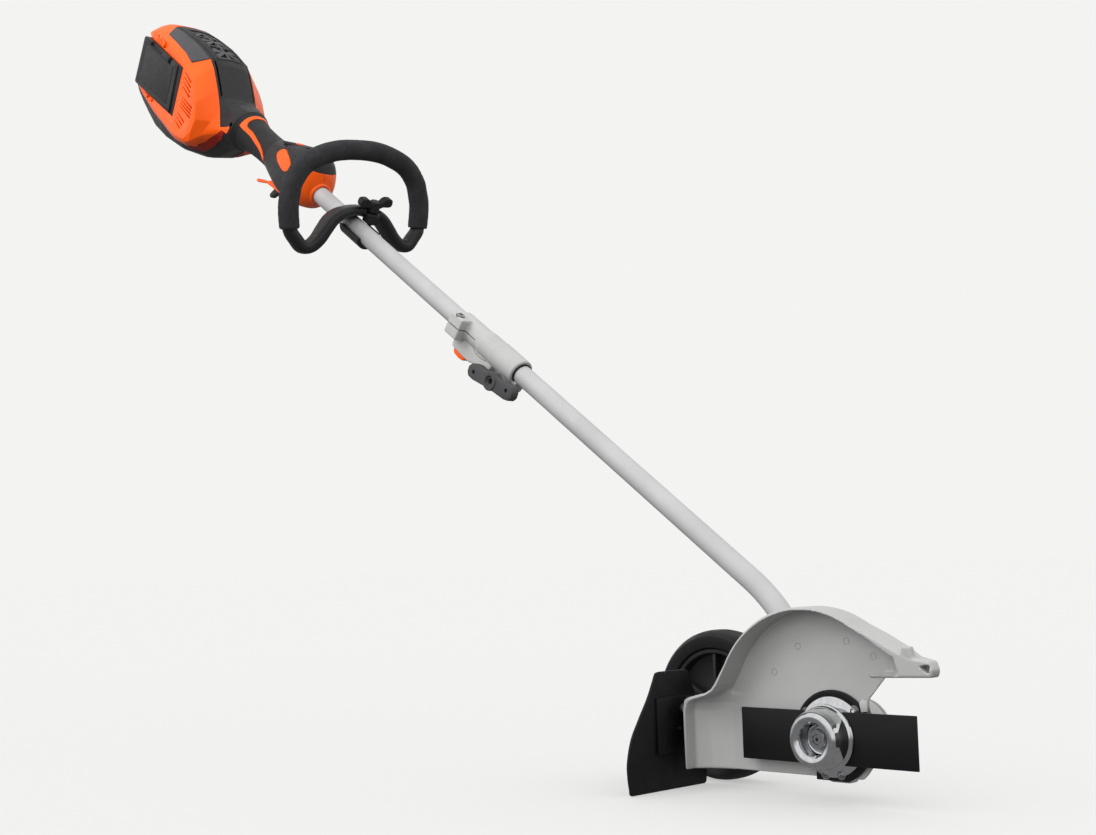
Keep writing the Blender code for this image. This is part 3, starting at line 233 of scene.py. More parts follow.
LOOKS = {
    "upper_tube": "tube", "lower_tube": "tube", "shaft_bushing_lower": "black",
    "shaft_bushing_upper": "black",
    "coupler_body": "cast_small", "coupler_clamp_screw": "steel", "coupler_knob": "black",
    "release_button": "orange",
    "nose_cap": "orange", "control_housing": "dark", "keypad_panel": "black", "side_inlay_right": "orange",
    "side_inlay_left": "orange", "lever_pin": "steel", "rear_grip": "dark_soft", "grip_trim": "orange",
    "side_shell_right": "orange", "side_shell_left": "orange", "top_spine": "dark", "top_grille": "panel",
    "motor_housing": "dark", "motor_stator": "winding", "motor_bearing": "steel", "flexible_shaft": "steel",
    "guard_shell": "cast", "gear_case": "cast_small", "gear_case_lid": "cast_small", "gear_cover": "black",
    "pinion_bearing": "steel", "output_bearing": "steel", "debris_flap": "rubber",
    "flap_bracket": "black_steel",
    "flap_bolt": "steel", "arm_pivot_bolt": "steel", "blade": "black_steel", "blade_cup": "chrome",
    "blade_nut": "steel", "dust_flange": "chrome", "output_shaft": "steel", "bevel_gear": "steel",
    "bevel_pinion": "steel", "motor_rotor": "steel", "cooling_fan": "black", "upper_drive_shaft": "steel",
    "wheel_arm": "black_steel", "wheel_axle": "steel", "wheel_hub": "black", "wheel_tyre": "tyre",
    "height_knob": "black", "loop_frame": "black", "grip_sleeve": "foam", "loop_clamp_lower": "black",
    "loop_knob": "black", "throttle_trigger": "orange", "trigger_lockout": "black", "power_button": "dark",
    "mode_button": "orange", "battery_pack": "dark", "battery_latch_upper": "orange",
    "battery_latch_lower": "orange",
}
for name, look in LOOKS.items():
    node = NODES[name]
    node.data.materials.clear()
    node.data.materials.append(M[look])


# ---------------------------------------------------------------- mesh helpers, in millimetres

AXES = {"X": (1, 2, 0), "Y": (2, 0, 1), "Z": (0, 1, 2)}


def oriented(u, v, w, axis):
    place = [0.0, 0.0, 0.0]
    for value, index in zip((u, v, w), AXES[axis]):
        place[index] = value
    return Vector(place)


def turned(profile, steps=64, axis="Z", centre=(0, 0, 0)):
    """Revolves a (radius, height) profile: a closed loop, or a line that starts and ends on the axis."""
    bm = bmesh.new()
    points = [bm.verts.new(oriented(r, 0, h, axis) + Vector(centre)) for r, h in profile]
    lines = [bm.edges.new(pair) for pair in zip(points, points[1:])]
    if profile[0][0] > 0:
        lines.append(bm.edges.new((points[-1], points[0])))
    bmesh.ops.spin(
        bm, geom=points + lines, cent=centre, axis=oriented(0, 0, 1, axis), dvec=(0, 0, 0),
        angle=2 * math.pi, steps=steps, use_merge=True, use_duplicate=False,
    )
    bmesh.ops.remove_doubles(bm, verts=bm.verts, dist=0.002)
    return bm


def rod(radius, low, high, steps=40, axis="Z", centre=(0, 0, 0), chamfer=0.0):
    profile = [(0, low), (radius - chamfer, low), (radius, low + chamfer)]
    profile += [(radius, high - chamfer), (radius - chamfer, high), (0, high)]
    if not chamfer:
        profile = [(0, low), (radius, low), (radius, high), (0, high)]
    return turned(profile, steps, axis, centre)


def ring(inner, outer, low, high, steps=64, axis="Z", centre=(0, 0, 0)):
    profile = [(inner, low), (outer, low), (outer, high), (inner, high)]
    return turned(profile, steps, axis, centre)


def prism(outline, low, high, axis="Y"):
    """Extrudes an outline along an axis. For Y its pairs are (x, z), for Z (x, y), for X (y, z)."""
    bm = bmesh.new()
    if axis == "Y":
        outline = [(z, x) for x, z in outline]
    base = [bm.verts.new(oriented(u, v, low, axis)) for u, v in outline]
    face = bm.faces.new(base)
    grown = bmesh.ops.extrude_face_region(bm, geom=[face])["geom"]
    moved = [item for item in grown if isinstance(item, bmesh.types.BMVert)]
    bmesh.ops.translate(bm, verts=moved, vec=oriented(0, 0, high - low, axis))
    return bm


def block(low, high, bevel=0.0, segments=3):
    bm = bmesh.new()
    low, high = Vector(low), Vector(high)
    made = bmesh.ops.create_cube(bm, size=1.0)["verts"]
    bmesh.ops.scale(bm, vec=high - low, verts=made)
    bmesh.ops.translate(bm, vec=(low + high) / 2, verts=made)
    if bevel:
        edges = list({edge for vert in made for edge in vert.link_edges})
        bmesh.ops.bevel(bm, geom=edges, offset=bevel, segments=segments, affect="EDGES", profile=0.5)
    return bm


def loft(rings, closed=False):
    bm = bmesh.new()
    rows = [[bm.verts.new(point) for point in one] for one in rings]
    pairs = list(zip(rows, rows[1:]))
    if closed:
        pairs.append((rows[-1], rows[0]))
    for low, high in pairs:
        for i in range(len(low)):
            j = (i + 1) % len(low)
            bm.faces.new((low[i], low[j], high[j], high[i]))
    if not closed:
        bm.faces.new(rows[0])
        bm.faces.new(rows[-1][::-1])
    return bm


def signed_power(value, power):
    return math.copysign(abs(value) ** power, value)


def section(s, half, top, bottom, power, inset=0.0, count=72):
    """A ring across the shaft at a station: a superellipse of the given half width, top, bottom and power."""
    middle = (top + bottom) / 2
    rise = (top - bottom) / 2 - inset
    points = []
    for i in range(count):
        angle = 2 * math.pi * (i + 0.5) / count
        across = (half - inset) * signed_power(math.cos(angle), 2 / power)
        up = middle + rise * signed_power(math.sin(angle), 2 / power)
        points.append(Vector((up, across, s)))
    return points


def sweep(path, sections):
    """A closed tube along frames of place, across and up, with a section for each."""
    rings = []
    for (place, across, up), shape in zip(path, sections):
        rings.append([place + across * a + up * b for a, b in shape])
    return loft(rings, closed=True)


def circle(radius, count):
    angles = [2 * math.pi * i / count for i in range(count)]
    return [(radius * math.cos(a), radius * math.sin(a)) for a in angles]


def arc(centre, radius, start, end, count):
    angles = [math.radians(start + (end - start) * i / (count - 1)) for i in range(count)]
    return [(centre[0] + radius * math.cos(a), centre[1] + radius * math.sin(a)) for a in angles]


def between(a, b, c, d, t):
    """A Catmull-Rom value between b and c."""
    square = (2 * a - 5 * b + 4 * c - d) * t * t
    return 0.5 * (2 * b + (c - a) * t + square + (3 * b - a - 3 * c + d) * t ** 3)


def curve(points, steps, closed=False):
    """A Catmull-Rom curve through points of any length, with the given steps between each two."""
    result = []
    count = len(points)
    for i in range(count if closed else count - 1):
        if closed:
            picks = [(i + k) % count for k in (-1, 0, 1, 2)]
        else:
            picks = [max(i - 1, 0), i, i + 1, min(i + 2, count - 1)]
        rows = list(zip(*(points[k] for k in picks)))
        for k in range(steps):
            t = k / steps
            result.append(tuple(between(*row, t) for row in rows))
    if not closed:
        result.append(tuple(points[-1]))
    return result


def work_object(bm):
    bmesh.ops.recalc_face_normals(bm, faces=bm.faces)
    mesh = bpy.data.meshes.new("work")
    bm.to_mesh(mesh)
    bm.free()
    obj = bpy.data.objects.new("work", mesh)
    bpy.context.scene.collection.objects.link(obj)
    return obj


def discard(obj):
    mesh = obj.data
    bpy.data.objects.remove(obj)
    bpy.data.meshes.remove(mesh)


def shaped(bm, *modifiers):
    """The shape after modifiers, each given as its type and settings."""
    obj = work_object(bm)
    for kind, settings in modifiers:
        made = obj.modifiers.new(kind, kind)
        for key, value in settings.items():
            setattr(made, key, value)
    bpy.context.view_layer.update()
    result = bmesh.new()
    result.from_object(obj, bpy.context.evaluated_depsgraph_get())
    discard(obj)
    return result


def combine(bm, other, operation):
    helper = work_object(other)
    result = shaped(bm, ("BOOLEAN", {"object": helper, "operation": operation, "solver": "EXACT"}))
    discard(helper)
    return result


def cut(bm, *others):
    for other in others:
        bm = combine(bm, other, "DIFFERENCE")
    return bm


def join(bm, *others):
    for other in others:
        bm = combine(bm, other, "UNION")
    return bm


def keep(bm, other):
    return combine(bm, other, "INTERSECT")


def bevelled(bm, width, segments=3, angle=30):
    return shaped(bm, ("BEVEL", {"width": width, "segments": segments, "limit_method": "ANGLE",
                                 "angle_limit": math.radians(angle), "use_clamp_overlap": True}))


def cast(bm, voxel=1.0, rounds=6, factor=0.5):
    """A casting's soft fillets: the joined solids remeshed and relaxed."""
    return shaped(bm, ("REMESH", {"mode": "VOXEL", "voxel_size": voxel, "adaptivity": 0.0}),
                  ("SMOOTH", {"factor": factor, "iterations": rounds}))


def piece(name, bm, place, look, body, stands_for=(), angle=38):
    bmesh.ops.recalc_face_normals(bm, faces=bm.faces)
    bm.transform(Matrix.Scale(MM, 4) @ place)
    mesh = bpy.data.meshes.new(name)
    bm.to_mesh(mesh)
    bm.free()
    mesh.polygons.foreach_set("use_smooth", [True] * len(mesh.polygons))
    mesh.set_sharp_from_angle(angle=math.radians(angle))
    mesh.materials.append(M[look])
    obj = bpy.data.objects.new(name, mesh)
    bpy.context.scene.collection.objects.link(obj)
    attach(obj, body)
    if stands_for:
        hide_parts(*stands_for)
    return obj


def screw(radius, height, drive=0.45, steps=32, axis="Y", centre=(0, 0, 0), direction=1):
    """A pan head with a recessed drive, seated at the centre and rising along the direction."""
    d = direction
    profile = [(0, -1.0 * d), (radius * 0.98, -1.0 * d), (radius, 0), (radius, height * 0.35 * d)]
    profile += [(radius * 0.93, height * 0.7 * d), (radius * 0.75, height * 0.95 * d),
                (radius * drive, height * d)]
    profile += [(radius * drive * 0.94, height * 0.35 * d), (0, height * 0.3 * d)]
    return turned(profile, steps, axis, centre)


# ---------------------------------------------------------------- shaft

TUBE_R = 12.0
TUBE_BORE = 10.5
GAP = 0.3
ROLLED = SHAFT @ Matrix.Rotation(math.radians(-8), 4, "Z")
LOOP_S = 948.0
LOOP_LEAN = Matrix.Rotation(math.radians(-24), 4, "Y")
LOOP = ROLLED @ Matrix.Translation((0, 0, LOOP_S)) @ LOOP_LEAN
INPUT_TILT = math.radians(56.3)
BEND_RADIUS = 200.0


def shaft_direction(tilt):
    return Vector((-math.cos(tilt), 0, math.sin(tilt)))


def shaft_route(low, high, step_count):
    """Places and directions along the lower tube, whose bend lies between two straight lengths."""
    lower, upper = shaft_direction(INPUT_TILT), shaft_direction(SHAFT_TILT)
    along = SHAFT_RISE / (math.cos(SHAFT_TILT) * math.tan(INPUT_TILT) - math.sin(SHAFT_TILT))
    base = Vector((0, SHAFT_SIDE, SHAFT_RISE))
    turn = INPUT_TILT - SHAFT_TILT
    centre = base + upper * along - lower * (BEND_RADIUS * math.tan(turn / 2))
    pivot = centre + Vector((-math.sin(INPUT_TILT), 0, -math.cos(INPUT_TILT))) * BEND_RADIUS
    route = [(Vector((0, SHAFT_SIDE, 0)) + lower * low, lower)]
    for i in range(step_count + 1):
        spin = Matrix.Rotation(-turn * i / step_count, 3, "Y")
        route.append((pivot + spin @ (centre - pivot), spin @ lower))
    route.append((base + upper * high, upper))
    return route


def shaft_pieces():
    bm = turned([(TUBE_BORE, 613.4), (10.9, 613), (11.6, 613), (TUBE_R, 613.4), (TUBE_R, 1252),
                 (TUBE_BORE, 1252)], 96)
    piece("upper_tube_skin", bm, SHAFT, "tube", "upper_unit", ("upper_tube",))
    frames = []
    for place, direction in shaft_route(50, 610, 28):
        across = Vector((0, 1, 0))
        frames.append((place, across, direction.cross(across)))
    outer, inner = [circle(TUBE_R, 96)] * len(frames), [circle(TUBE_BORE, 96)] * len(frames)
    bm = sweep(frames + frames[::-1], outer + inner)
    piece("lower_tube_skin", bm, EDGER, "tube", "attachment", ("lower_tube",))


# ---------------------------------------------------------------- loop handle

SLEEVE_R = 13.5
LOOP_CORE_R = 9.4
KNOB_SEAT = (0, 17, -6)


def loop_points():
    half = [(103, -3), (105, 25), (102, 44), (97, 60), (81, 80), (57, 92), (31, 99)]
    return half + [(0, 101)] + [(-a, b) for a, b in half[::-1]]


def strap_points():
    half = [(103, -3), (94, -17), (84, -27), (72, -26), (60, -17), (50, -4), (40, 8), (28, 16), (14, 20)]
    return [(-a, b) for a, b in half] + [(0, 21.5)] + half[::-1]


def strap_shape(height, width, count=28, power=0.72):
    points = []
    for i in range(count):
        angle = 2 * math.pi * (i + 0.5) / count
        points.append((height / 2 * signed_power(math.cos(angle), power),
                       width / 2 * signed_power(math.sin(angle), power)))
    return points


def plane_frames(points, closed=False):
    frames = []
    count = len(points)
    for i, (across, up) in enumerate(points):
        before = points[(i - 1) % count] if closed or i else points[0]
        after = points[(i + 1) % count] if closed or i < count - 1 else points[-1]
        along = Vector((after[1] - before[1], after[0] - before[0], 0)).normalized()
        frames.append((Vector((up, across, 0)), Vector((along.y, -along.x, 0)), Vector((0, 0, 1))))
    return frames


def loop_pieces():
    top, low = loop_points(), strap_points()
    line = curve(top[:-1] + low[:-1], 6, closed=True)
    split = 6 * (len(top) - 1)
    shapes = []
    for i, (across, _) in enumerate(line):
        if i < split:
            shapes.append(strap_shape(2 * LOOP_CORE_R, 2 * LOOP_CORE_R, power=1.0))
            continue
        share = min(1.0, max(0.0, (112 - abs(across)) / 34))
        flat = min(1.0, max(0.0, (72 - abs(across)) / 42))
        height = (2 * LOOP_CORE_R * (1 - share) + 17 * share) * (1 - flat) + 15 * flat
        width = (2 * LOOP_CORE_R * (1 - share) + 25 * share) * (1 - flat) + 36 * flat
        shapes.append(strap_shape(height, width, power=1.0 - 0.3 * share))
    bm = sweep(plane_frames(line, closed=True), shapes)
    lean = LOOP_LEAN.inverted()
    steps = ((rod(11, 9, 23.7, 40, "X", KNOB_SEAT, 0.8), join),
             (rod(11.6, 23.7, 70, 40, "X", KNOB_SEAT), cut),
             (rod(TUBE_R + 2 * GAP, -90, 90, 64), cut),
             (rod(3.4, -30, 70, 24, "X", KNOB_SEAT), cut))
    for helper, change in steps:
        helper.transform(lean)
        bm = change(bm, helper)
    piece("loop_strap", bm, LOOP, "loop_plastic", "loop_handle", ("loop_frame",), 45)
    path = curve(top, 12)
    frames = plane_frames(path)
    outer, inner = [], []
    last = len(path) - 1
    for i, (across, up) in enumerate(path):
        edge = min(i, last - i)
        radius = SLEEVE_R - (1.2, 0.45, 0.1)[edge] if edge < 3 else SLEEVE_R
        ripple = 0.16 * math.sin(i * 1.9) * math.exp(-((abs(across) - 92) / 16) ** 2)
        shape = []
        for k, (a, b) in enumerate(circle(1.0, 48)):
            place = Vector((up * 0.05 + a * 0.9, across * 0.05 + b * 0.9, i * 0.09))
            swell = 0.32 * noise.noise(place) + 0.12 * noise.noise(place * 3.1)
            shape.append((a * (radius + swell + ripple), b * (radius + swell + ripple)))
        outer.append(shape)
        inner.append(circle(LOOP_CORE_R + GAP, 48))
    bm = sweep(frames + frames[::-1], outer + inner[::-1])
    foam = piece("foam_grip", bm, LOOP, "foam", "loop_handle", ("grip_sleeve",), 50)
    low_s, high_s = LOOP_S - 34, LOOP_S + 12
    bm = ring(TUBE_R + GAP, 17.5, low_s, high_s, 72)
    bm = join(bm, block((-10, 12, LOOP_S - 20), (-1.5, 29, LOOP_S + 4), 2.0))
    bm = cut(bm, block((-1.2, -60, low_s - 5), (60, 60, high_s + 5)),
             rod(TUBE_R + GAP, low_s - 5, high_s + 5, 72))
    place = (0, KNOB_SEAT[1], LOOP_S + KNOB_SEAT[2])
    bm = cut(bm, rod(3.4, -30, 10, 24, "X", place), rod(6.5, -30, -9.9, 40, "X", place))
    bm = bevelled(bm, 0.7, 2)
    piece("loop_clamp_half", bm, ROLLED, "loop_plastic", "loop_handle", ("loop_clamp_lower",))
    stud = [(0, -13), (6, -13), (6, -10.3), (2.8, -10.3), (2.8, 24), (7.6, 24), (8.6, 27.5), (7.4, 33),
            (6.8, 40), (0, 40)]
    bm = turned(stud, 40, "X", place)
    wing = [(0, 31), (8, 31.4), (12, 33), (20, 32.6), (24, 34), (25.4, 38), (24.4, 43), (22, 44.6),
            (15, 44.8), (11.5, 43), (8.6, 39.6), (5, 37.8), (0, 37.2)]
    outline = [(up, place[1] + a) for a, up in wing] + [(up, place[1] - a) for a, up in wing[-2:0:-1]]
    grip = prism(outline, place[2] - 5.2, place[2] + 5.2, "Z")
    bm = cast(join(bm, grip), 0.6, 5)
    piece("loop_wing_knob", bm, ROLLED, "black", "loop_clamp_knob", ("loop_knob",), 60)


# ---------------------------------------------------------------- controls

def housing_rings(inset=0.0):
    rows = [(1043, 15, 15, -15, 2.0), (1048, 22, 25, -20, 2.2), (1054, 27.5, 34, -26, 2.3),
            (1061, 30.5, 43, -29, 2.4), (1070, 32, 48, -31, 2.5), (1084, 32.5, 50, -34, 2.5),
            (1100, 32, 47, -35, 2.5), (1118, 30.5, 40.5, -34, 2.4), (1142, 26.5, 31.5, -29, 2.2),
            (1164, 23, 25.5, -23, 2.0)]
    return [section(*row, inset) for row in curve(rows, 5)]


def shell_of(rings, inset=2.6, trim=0.0):
    outer, inner = rings(trim), rings(inset)
    return loft(outer + inner[::-1], closed=True)


def shaft_prism(outline, low, high):
    """A side view of pairs (up, station along the shaft), given a width from low to high."""
    return prism(outline, low, high, "Y")


KEYPAD_TOP = 50
KEYPAD_START = 1082.3
KEYPAD_LENGTH = 63.4
KEYPAD_FALL = 18
POWER_S = 1100
MODE_S = 1126
LEVER_PIVOT = (-22, 0, 1116)


def on_keypad(s):
    """Moves a shape built at the origin onto the keypad's sloping face, at a station."""
    level = KEYPAD_TOP - (s - KEYPAD_START) * KEYPAD_FALL / KEYPAD_LENGTH
    slope = math.atan2(KEYPAD_FALL, KEYPAD_LENGTH)
    return Matrix.Translation((level, 0, s)) @ Matrix.Rotation(-slope, 4, "Y")


def control_pieces():
    nose_line = [(28, 1000), (28, 1058), (-60, 1058), (-60, 1000)]
    bm = keep(shell_of(housing_rings), shaft_prism(nose_line, -60, 60))
    bm = cut(bm, rod(TUBE_R + GAP, 1000, 1090, 72), block((12, -0.35, 1020), (40, 0.35, 1056)))
    bm = bevelled(bm, 0.5, 2, 35)
    piece("nose_shell", bm, SHAFT, "orange", "upper_unit", ("nose_cap",))
    collar = [(TUBE_R + GAP, 1040.6), (14.4, 1040.6), (15.6, 1041.6), (16.4, 1044.5), (TUBE_R + GAP, 1044.5)]
    piece("nose_collar", turned(collar, 72), SHAFT, "orange", "upper_unit")
    rest = [(28 + GAP, 1000), (28 + GAP, 1058 + GAP), (-60, 1058 + GAP), (-60, 1170), (80, 1170), (80, 1000)]
    bm = keep(shell_of(housing_rings), shaft_prism(rest, -60, 60))
    bm = cut(bm, shaft_prism([(60, 1082), (46.5, 1082), (28.5, 1146), (60, 1146)], -15.3, 15.3))
    bm = cut(bm, block((-60, -11, 1106), (-10, 11, 1156)))
    drop = [(28, 1122), (23, 1130), (16, 1132), (10, 1122), (5, 1100), (8, 1090), (16, 1086), (22, 1090),
            (27, 1105)]
    grown = [(29, 1122.5), (23.6, 1131), (15.6, 1133), (9.2, 1122.6), (4.1, 1100), (7.2, 1089.2),
             (16, 1085), (22.8, 1089), (28, 1104.6)]
    drop, grown = curve(drop, 4, True), curve(grown, 4, True)
    for side, name in ((-1, "right"), (1, "left")):
        low, high = sorted((side * 12, side * 60))
        inlay = keep(shell_of(housing_rings, 1.6, -0.5), shaft_prism(drop, low, high))
        piece(f"teardrop_inlay_{name}", bevelled(inlay, 0.5, 2, 40), SHAFT, "orange", "upper_unit",
              (f"side_inlay_{name}",))
        pocket = keep(shell_of(housing_rings, 1.9, -5), shaft_prism(grown, low, high))
        bm = cut(bm, pocket)
        groove = curve([(40, 1072), (33, 1084), (32, 1118), (27, 1150)], 6)
        line = [(t + 0.5, s) for t, s in groove] + [(t - 0.5, s) for t, s in groove[::-1]]
        bm = cut(bm, keep(shell_of(housing_rings, 0.7, -5), shaft_prism(line, low, high)))
    bm = bevelled(bm, 0.4, 2, 40)
    piece("control_shell", bm, SHAFT, "dark", "upper_unit", ("control_housing",))
    panel = shaft_prism([(50, 1082.3), (46.8, 1082.3), (28.8, 1145.7), (32, 1145.7)], -15, 15)
    for s in (POWER_S, MODE_S):
        hole = rod(6.3, -9, 9, 40, "X")
        hole.transform(on_keypad(s))
        panel = cut(panel, hole)
    frame_cut = block((-1.0, -12.6, -27.5), (4, 12.6, 27.5), 0.9, segments=2)
    frame_cut.transform(on_keypad(1114))
    panel = bevelled(cut(panel, frame_cut), 0.5, 2, 35)
    piece("keypad_frame", panel, SHAFT, "black", "upper_unit", ("keypad_panel",))
    for body, s, look in (("power", POWER_S, "panel"), ("mode", MODE_S, "orange")):
        cap = turned([(0, -1.6), (6, -1.6), (6, 0.1), (5.6, 0.8), (4.6, 1.1), (0, 0.7)], 40, "X")
        cap.transform(on_keypad(s))
        piece(f"{body}_cap", cap, SHAFT, look, body, (f"{body}_button",))
    for i in range(4):
        lamp = block((-1.2, -0.9, -2.2), (-0.4, 0.9, 2.2), 0.35, segments=2)
        across = Matrix.Translation((0, -7.2 + 4.8 * i, 0))
        lamp.transform(on_keypad(1113) @ across @ Matrix.Rotation(math.pi / 2, 4, "X"))
        piece(f"level_lamp_{i + 1}", lamp, SHAFT, "lamp", "upper_unit")
    lever = [(-15, 1109), (-15, 1122), (-22, 1134), (-36, 1156), (-42, 1178), (-46, 1179), (-46, 1174)]
    lever += [(-38, 1154), (-37, 1136), (-36, 1112), (-28, 1108)]
    bm = cut(shaft_prism(lever, -10.5, 2.8), rod(2.1, -20, 20, 24, "Y", LEVER_PIVOT))
    piece("trigger_lever", bevelled(bm, 1.2, 3, 28), SHAFT, "orange", "trigger", ("throttle_trigger",))
    lock = [(-15, 1111), (-15, 1122), (-22, 1136), (-30, 1144), (-55, 1157), (-58, 1153), (-57, 1149),
            (-42, 1136), (-30, 1112)]
    bm = cut(shaft_prism(lock, 3.3, 10.3), rod(2.1, 0, 20, 24, "Y", LEVER_PIVOT))
    piece("lockout_lever", bevelled(bm, 1.1, 3, 28), SHAFT, "black", "lockout", ("trigger_lockout",))
    piece("lever_pin_turned", rod(2.0, -14, 14, 32, "Y", LEVER_PIVOT, 0.4), SHAFT, "steel", "upper_unit",
          ("lever_pin",))


GRIP_POWER = 2.1


def grip_rings(inset=0.0):
    rows = [(1164.3, 22.5, 25, -22), (1180, 21.5, 23.5, -21.5), (1205, 21.5, 23.5, -22),
            (1226, 23, 24.5, -24)]
    rows += [(1242, 26, 27, -27)]
    return [section(*row, GRIP_POWER, inset) for row in curve(rows, 7)]


def grip_pieces():
    low = curve([(-11, 1164.6), (-2, 1178), (2.5, 1196), (6, 1214), (7, 1230), (8, 1237.5)], 6)
    high = curve([(-5, 1164.6), (3.5, 1178), (8.5, 1196), (12, 1214), (13, 1228), (17, 1233.5),
                  (24, 1235.4)], 6)
    strip = low + [(9, 1241.6), (60, 1241.6), (60, 1235.6)] + high[::-1]
    grown = [(t - 0.4, s) for t, s in low] + [(8.6, 1250), (70, 1250), (70, 1235.3)]
    grown += [(t + 0.4, s) for t, s in high[::-1]]
    bm = shell_of(grip_rings, 8.0)
    pocket = keep(shell_of(grip_rings, 1.9, -5), shaft_prism(grown, -50, 50))
    piece("rear_grip_skin", bevelled(cut(bm, pocket), 0.4, 2, 45), SHAFT, "dark_soft", "upper_unit",
          ("rear_grip",))
    trim = keep(shell_of(grip_rings, 1.6, -1.0), shaft_prism(strip, -50, 50))
    piece("grip_piping", bevelled(trim, 0.7, 3, 40), SHAFT, "orange", "upper_unit", ("grip_trim",))


# ---------------------------------------------------------------- coupler

COUPLER_BOLT = (-20.5, 0, 574)
CLAMP_SCREW = (0, -20, 674)


def coupler_pieces():
    body = [(12.3, 560), (16, 560), (17, 561.5), (17, 605), (16.4, 607.5), (16.2, 612), (16.2, 632),
            (15.2, 635), (15, 684), (14.4, 686), (12.3, 686)]
    bm = turned(body, 96)
    lug = [(-8, 552), (-24, 557), (-28.5, 566), (-28.5, 582), (-12, 594)]
    bm = join(bm, bevelled(shaft_prism(lug, -9, 9), 2.2))
    boss = [(-8, 598), (-27.5, 605), (-29.5, 634), (-32, 641), (-32, 652), (-30, 679), (-8, 683)]
    bm = join(bm, bevelled(shaft_prism(boss, -9.6, 9.6), 1.8))
    bm = join(bm, bevelled(shaft_prism([(-14, 661), (14, 661), (14, 686), (-14, 686)], -26, -8), 2.2))
    fin = bevelled(shaft_prism([(-10, 636), (-21, 596), (-12, 590), (-6, 640)], -2.2, 2.2), 0.9)
    bm = join(bm, fin)
    bm = cast(bm, 0.8, 4)
    bm = cut(bm, rod(12.3, 540, 700, 96), block((-0.9, -40, 640), (0.9, 0, 700)))
    bm = cut(bm, block((-36, -7.5, 650.5), (-17, 7.5, 676.5)), rod(3.2, -20, 20, 24, "Y", COUPLER_BOLT))
    bm = cut(bm, rod(3.2, -20, 30, 32, "X", CLAMP_SCREW), rod(5.9, 11.6, 30, 40, "X", CLAMP_SCREW))
    slit = curve([(-14, 612), (-16, 624), (-15, 636), (-10, 644)], 5)
    line = [(t + 0.5, s) for t, s in slit] + [(t - 0.5, s) for t, s in slit[::-1]]
    bm = cut(bm, shaft_prism(line, -20, -7.2))
    piece("coupler_casting", bm, SHAFT, "cast_small", "upper_unit", ("coupler_body",), 50)
    cap = screw(5.3, 4.0, 0.5, 40, "X", (12.2, *CLAMP_SCREW[1:]))
    piece("clamp_socket_screw", cut(cap, rod(2.6, 13.5, 20, 6, "X", CLAMP_SCREW)), SHAFT, "steel",
          "upper_unit", ("coupler_clamp_screw",))
    gap = ring(12.05, 13.4, 558.2, 559.9, 72)
    piece("coupler_seal", gap, SHAFT, "rubber", "upper_unit")
    button = bevelled(shaft_prism([(-23, 651), (-34, 651), (-37.5, 654), (-38.2, 663), (-37.2, 672),
                                   (-34, 676), (-23, 676)], -7, 7), 1.5, 3, 28)
    piece("release_pad", button, SHAFT, "orange", "release", ("release_button",))
    up, _, station = COUPLER_BOLT
    core = [(0, 10), (2.7, 10), (2.7, -18.6), (10.5, -18.6), (11.5, -21), (11.5, -30.5), (10.5, -32),
            (0, -32)]
    bm = turned(core, 56, "Y", COUPLER_BOLT)
    half = [(0, -8.5), (6, -9.5), (16, -9.9), (30, -10.5), (39, -9), (42.4, -4), (42.4, 3), (38, 8),
            (28, 9.6), (14, 7.8), (6, 9.5), (0, 9.5)]
    outline = [(up + t, station + s) for s, t in half] + [(up + t, station - s) for s, t in half[-2:0:-1]]
    wing = bevelled(shaft_prism(outline, -30.6, -19.2), 1.6, 2, 20)
    for end in (-1, 1):
        wing = cut(wing, rod(2.6, -40, -10, 32, "Y", (up - end, 0, station + 31 * end)))
    wing.transform(turn_about(COUPLER_BOLT, math.radians(-8), "Y"))
    bm = join(bm, wing)
    dish = turned([(0, -33), (7.5, -33), (5.4, -29.2), (0, -29.2)], 56, "Y", COUPLER_BOLT)
    bm = cut(bm, rod(3.6, -40, -23, 40, "Y", COUPLER_BOLT), dish)
    piece("coupler_wing_knob", bm, SHAFT, "panel", "coupler_clamp", ("coupler_knob",), 40)


def turn_about(point, angle, axis):
    move = Matrix.Translation(point)
    return move @ Matrix.Rotation(angle, 4, axis) @ move.inverted()


# ---------------------------------------------------------------- edger head

GUARD_ARC = (-14, 16)
GUARD_R = 110
GUARD_WALL = 3
PIVOT = Vector((-96, 0, 18))
DEPTH_KNOB = PIVOT + Vector((0, 0, 55))
WHEEL = Vector((-190, 0, 18))


def guard_outline():
    points = [(-166, -40), (-167, 20), (-165, 31), (-159, 34), (-137, 39), (-129, 43), (-124, 49)]
    points += arc(GUARD_ARC, GUARD_R, 152, 58, 48)
    points += [(63, 101), (84, 90), (106, 80), (128, 77), (132, 69), (130, 62), (62, 60), (40, 36)]
    points += arc((0, 0), 50, 34, -53, 36)
    return points


def guard_cavity(rear, front):
    """The hollow's outline at one depth, between the rear wall and the spout."""
    points = [(rear, -70), (rear, 20), (rear + 3, 28), (rear + 8, 31), (max(-137, rear + 14), 36),
              (-127, 41), (-120, 48)]
    points += arc(GUARD_ARC, GUARD_R - GUARD_WALL, 151, 60, 48)
    points += [(min(61, front - 9), 97), (front - 4, 94 - (front - 66) * 0.52),
               (front, 70 if front > 90 else 66)]
    points += [(front, 63), (min(62, front), 63), (75, 40), (75, 0), (75, -70)]
    return points


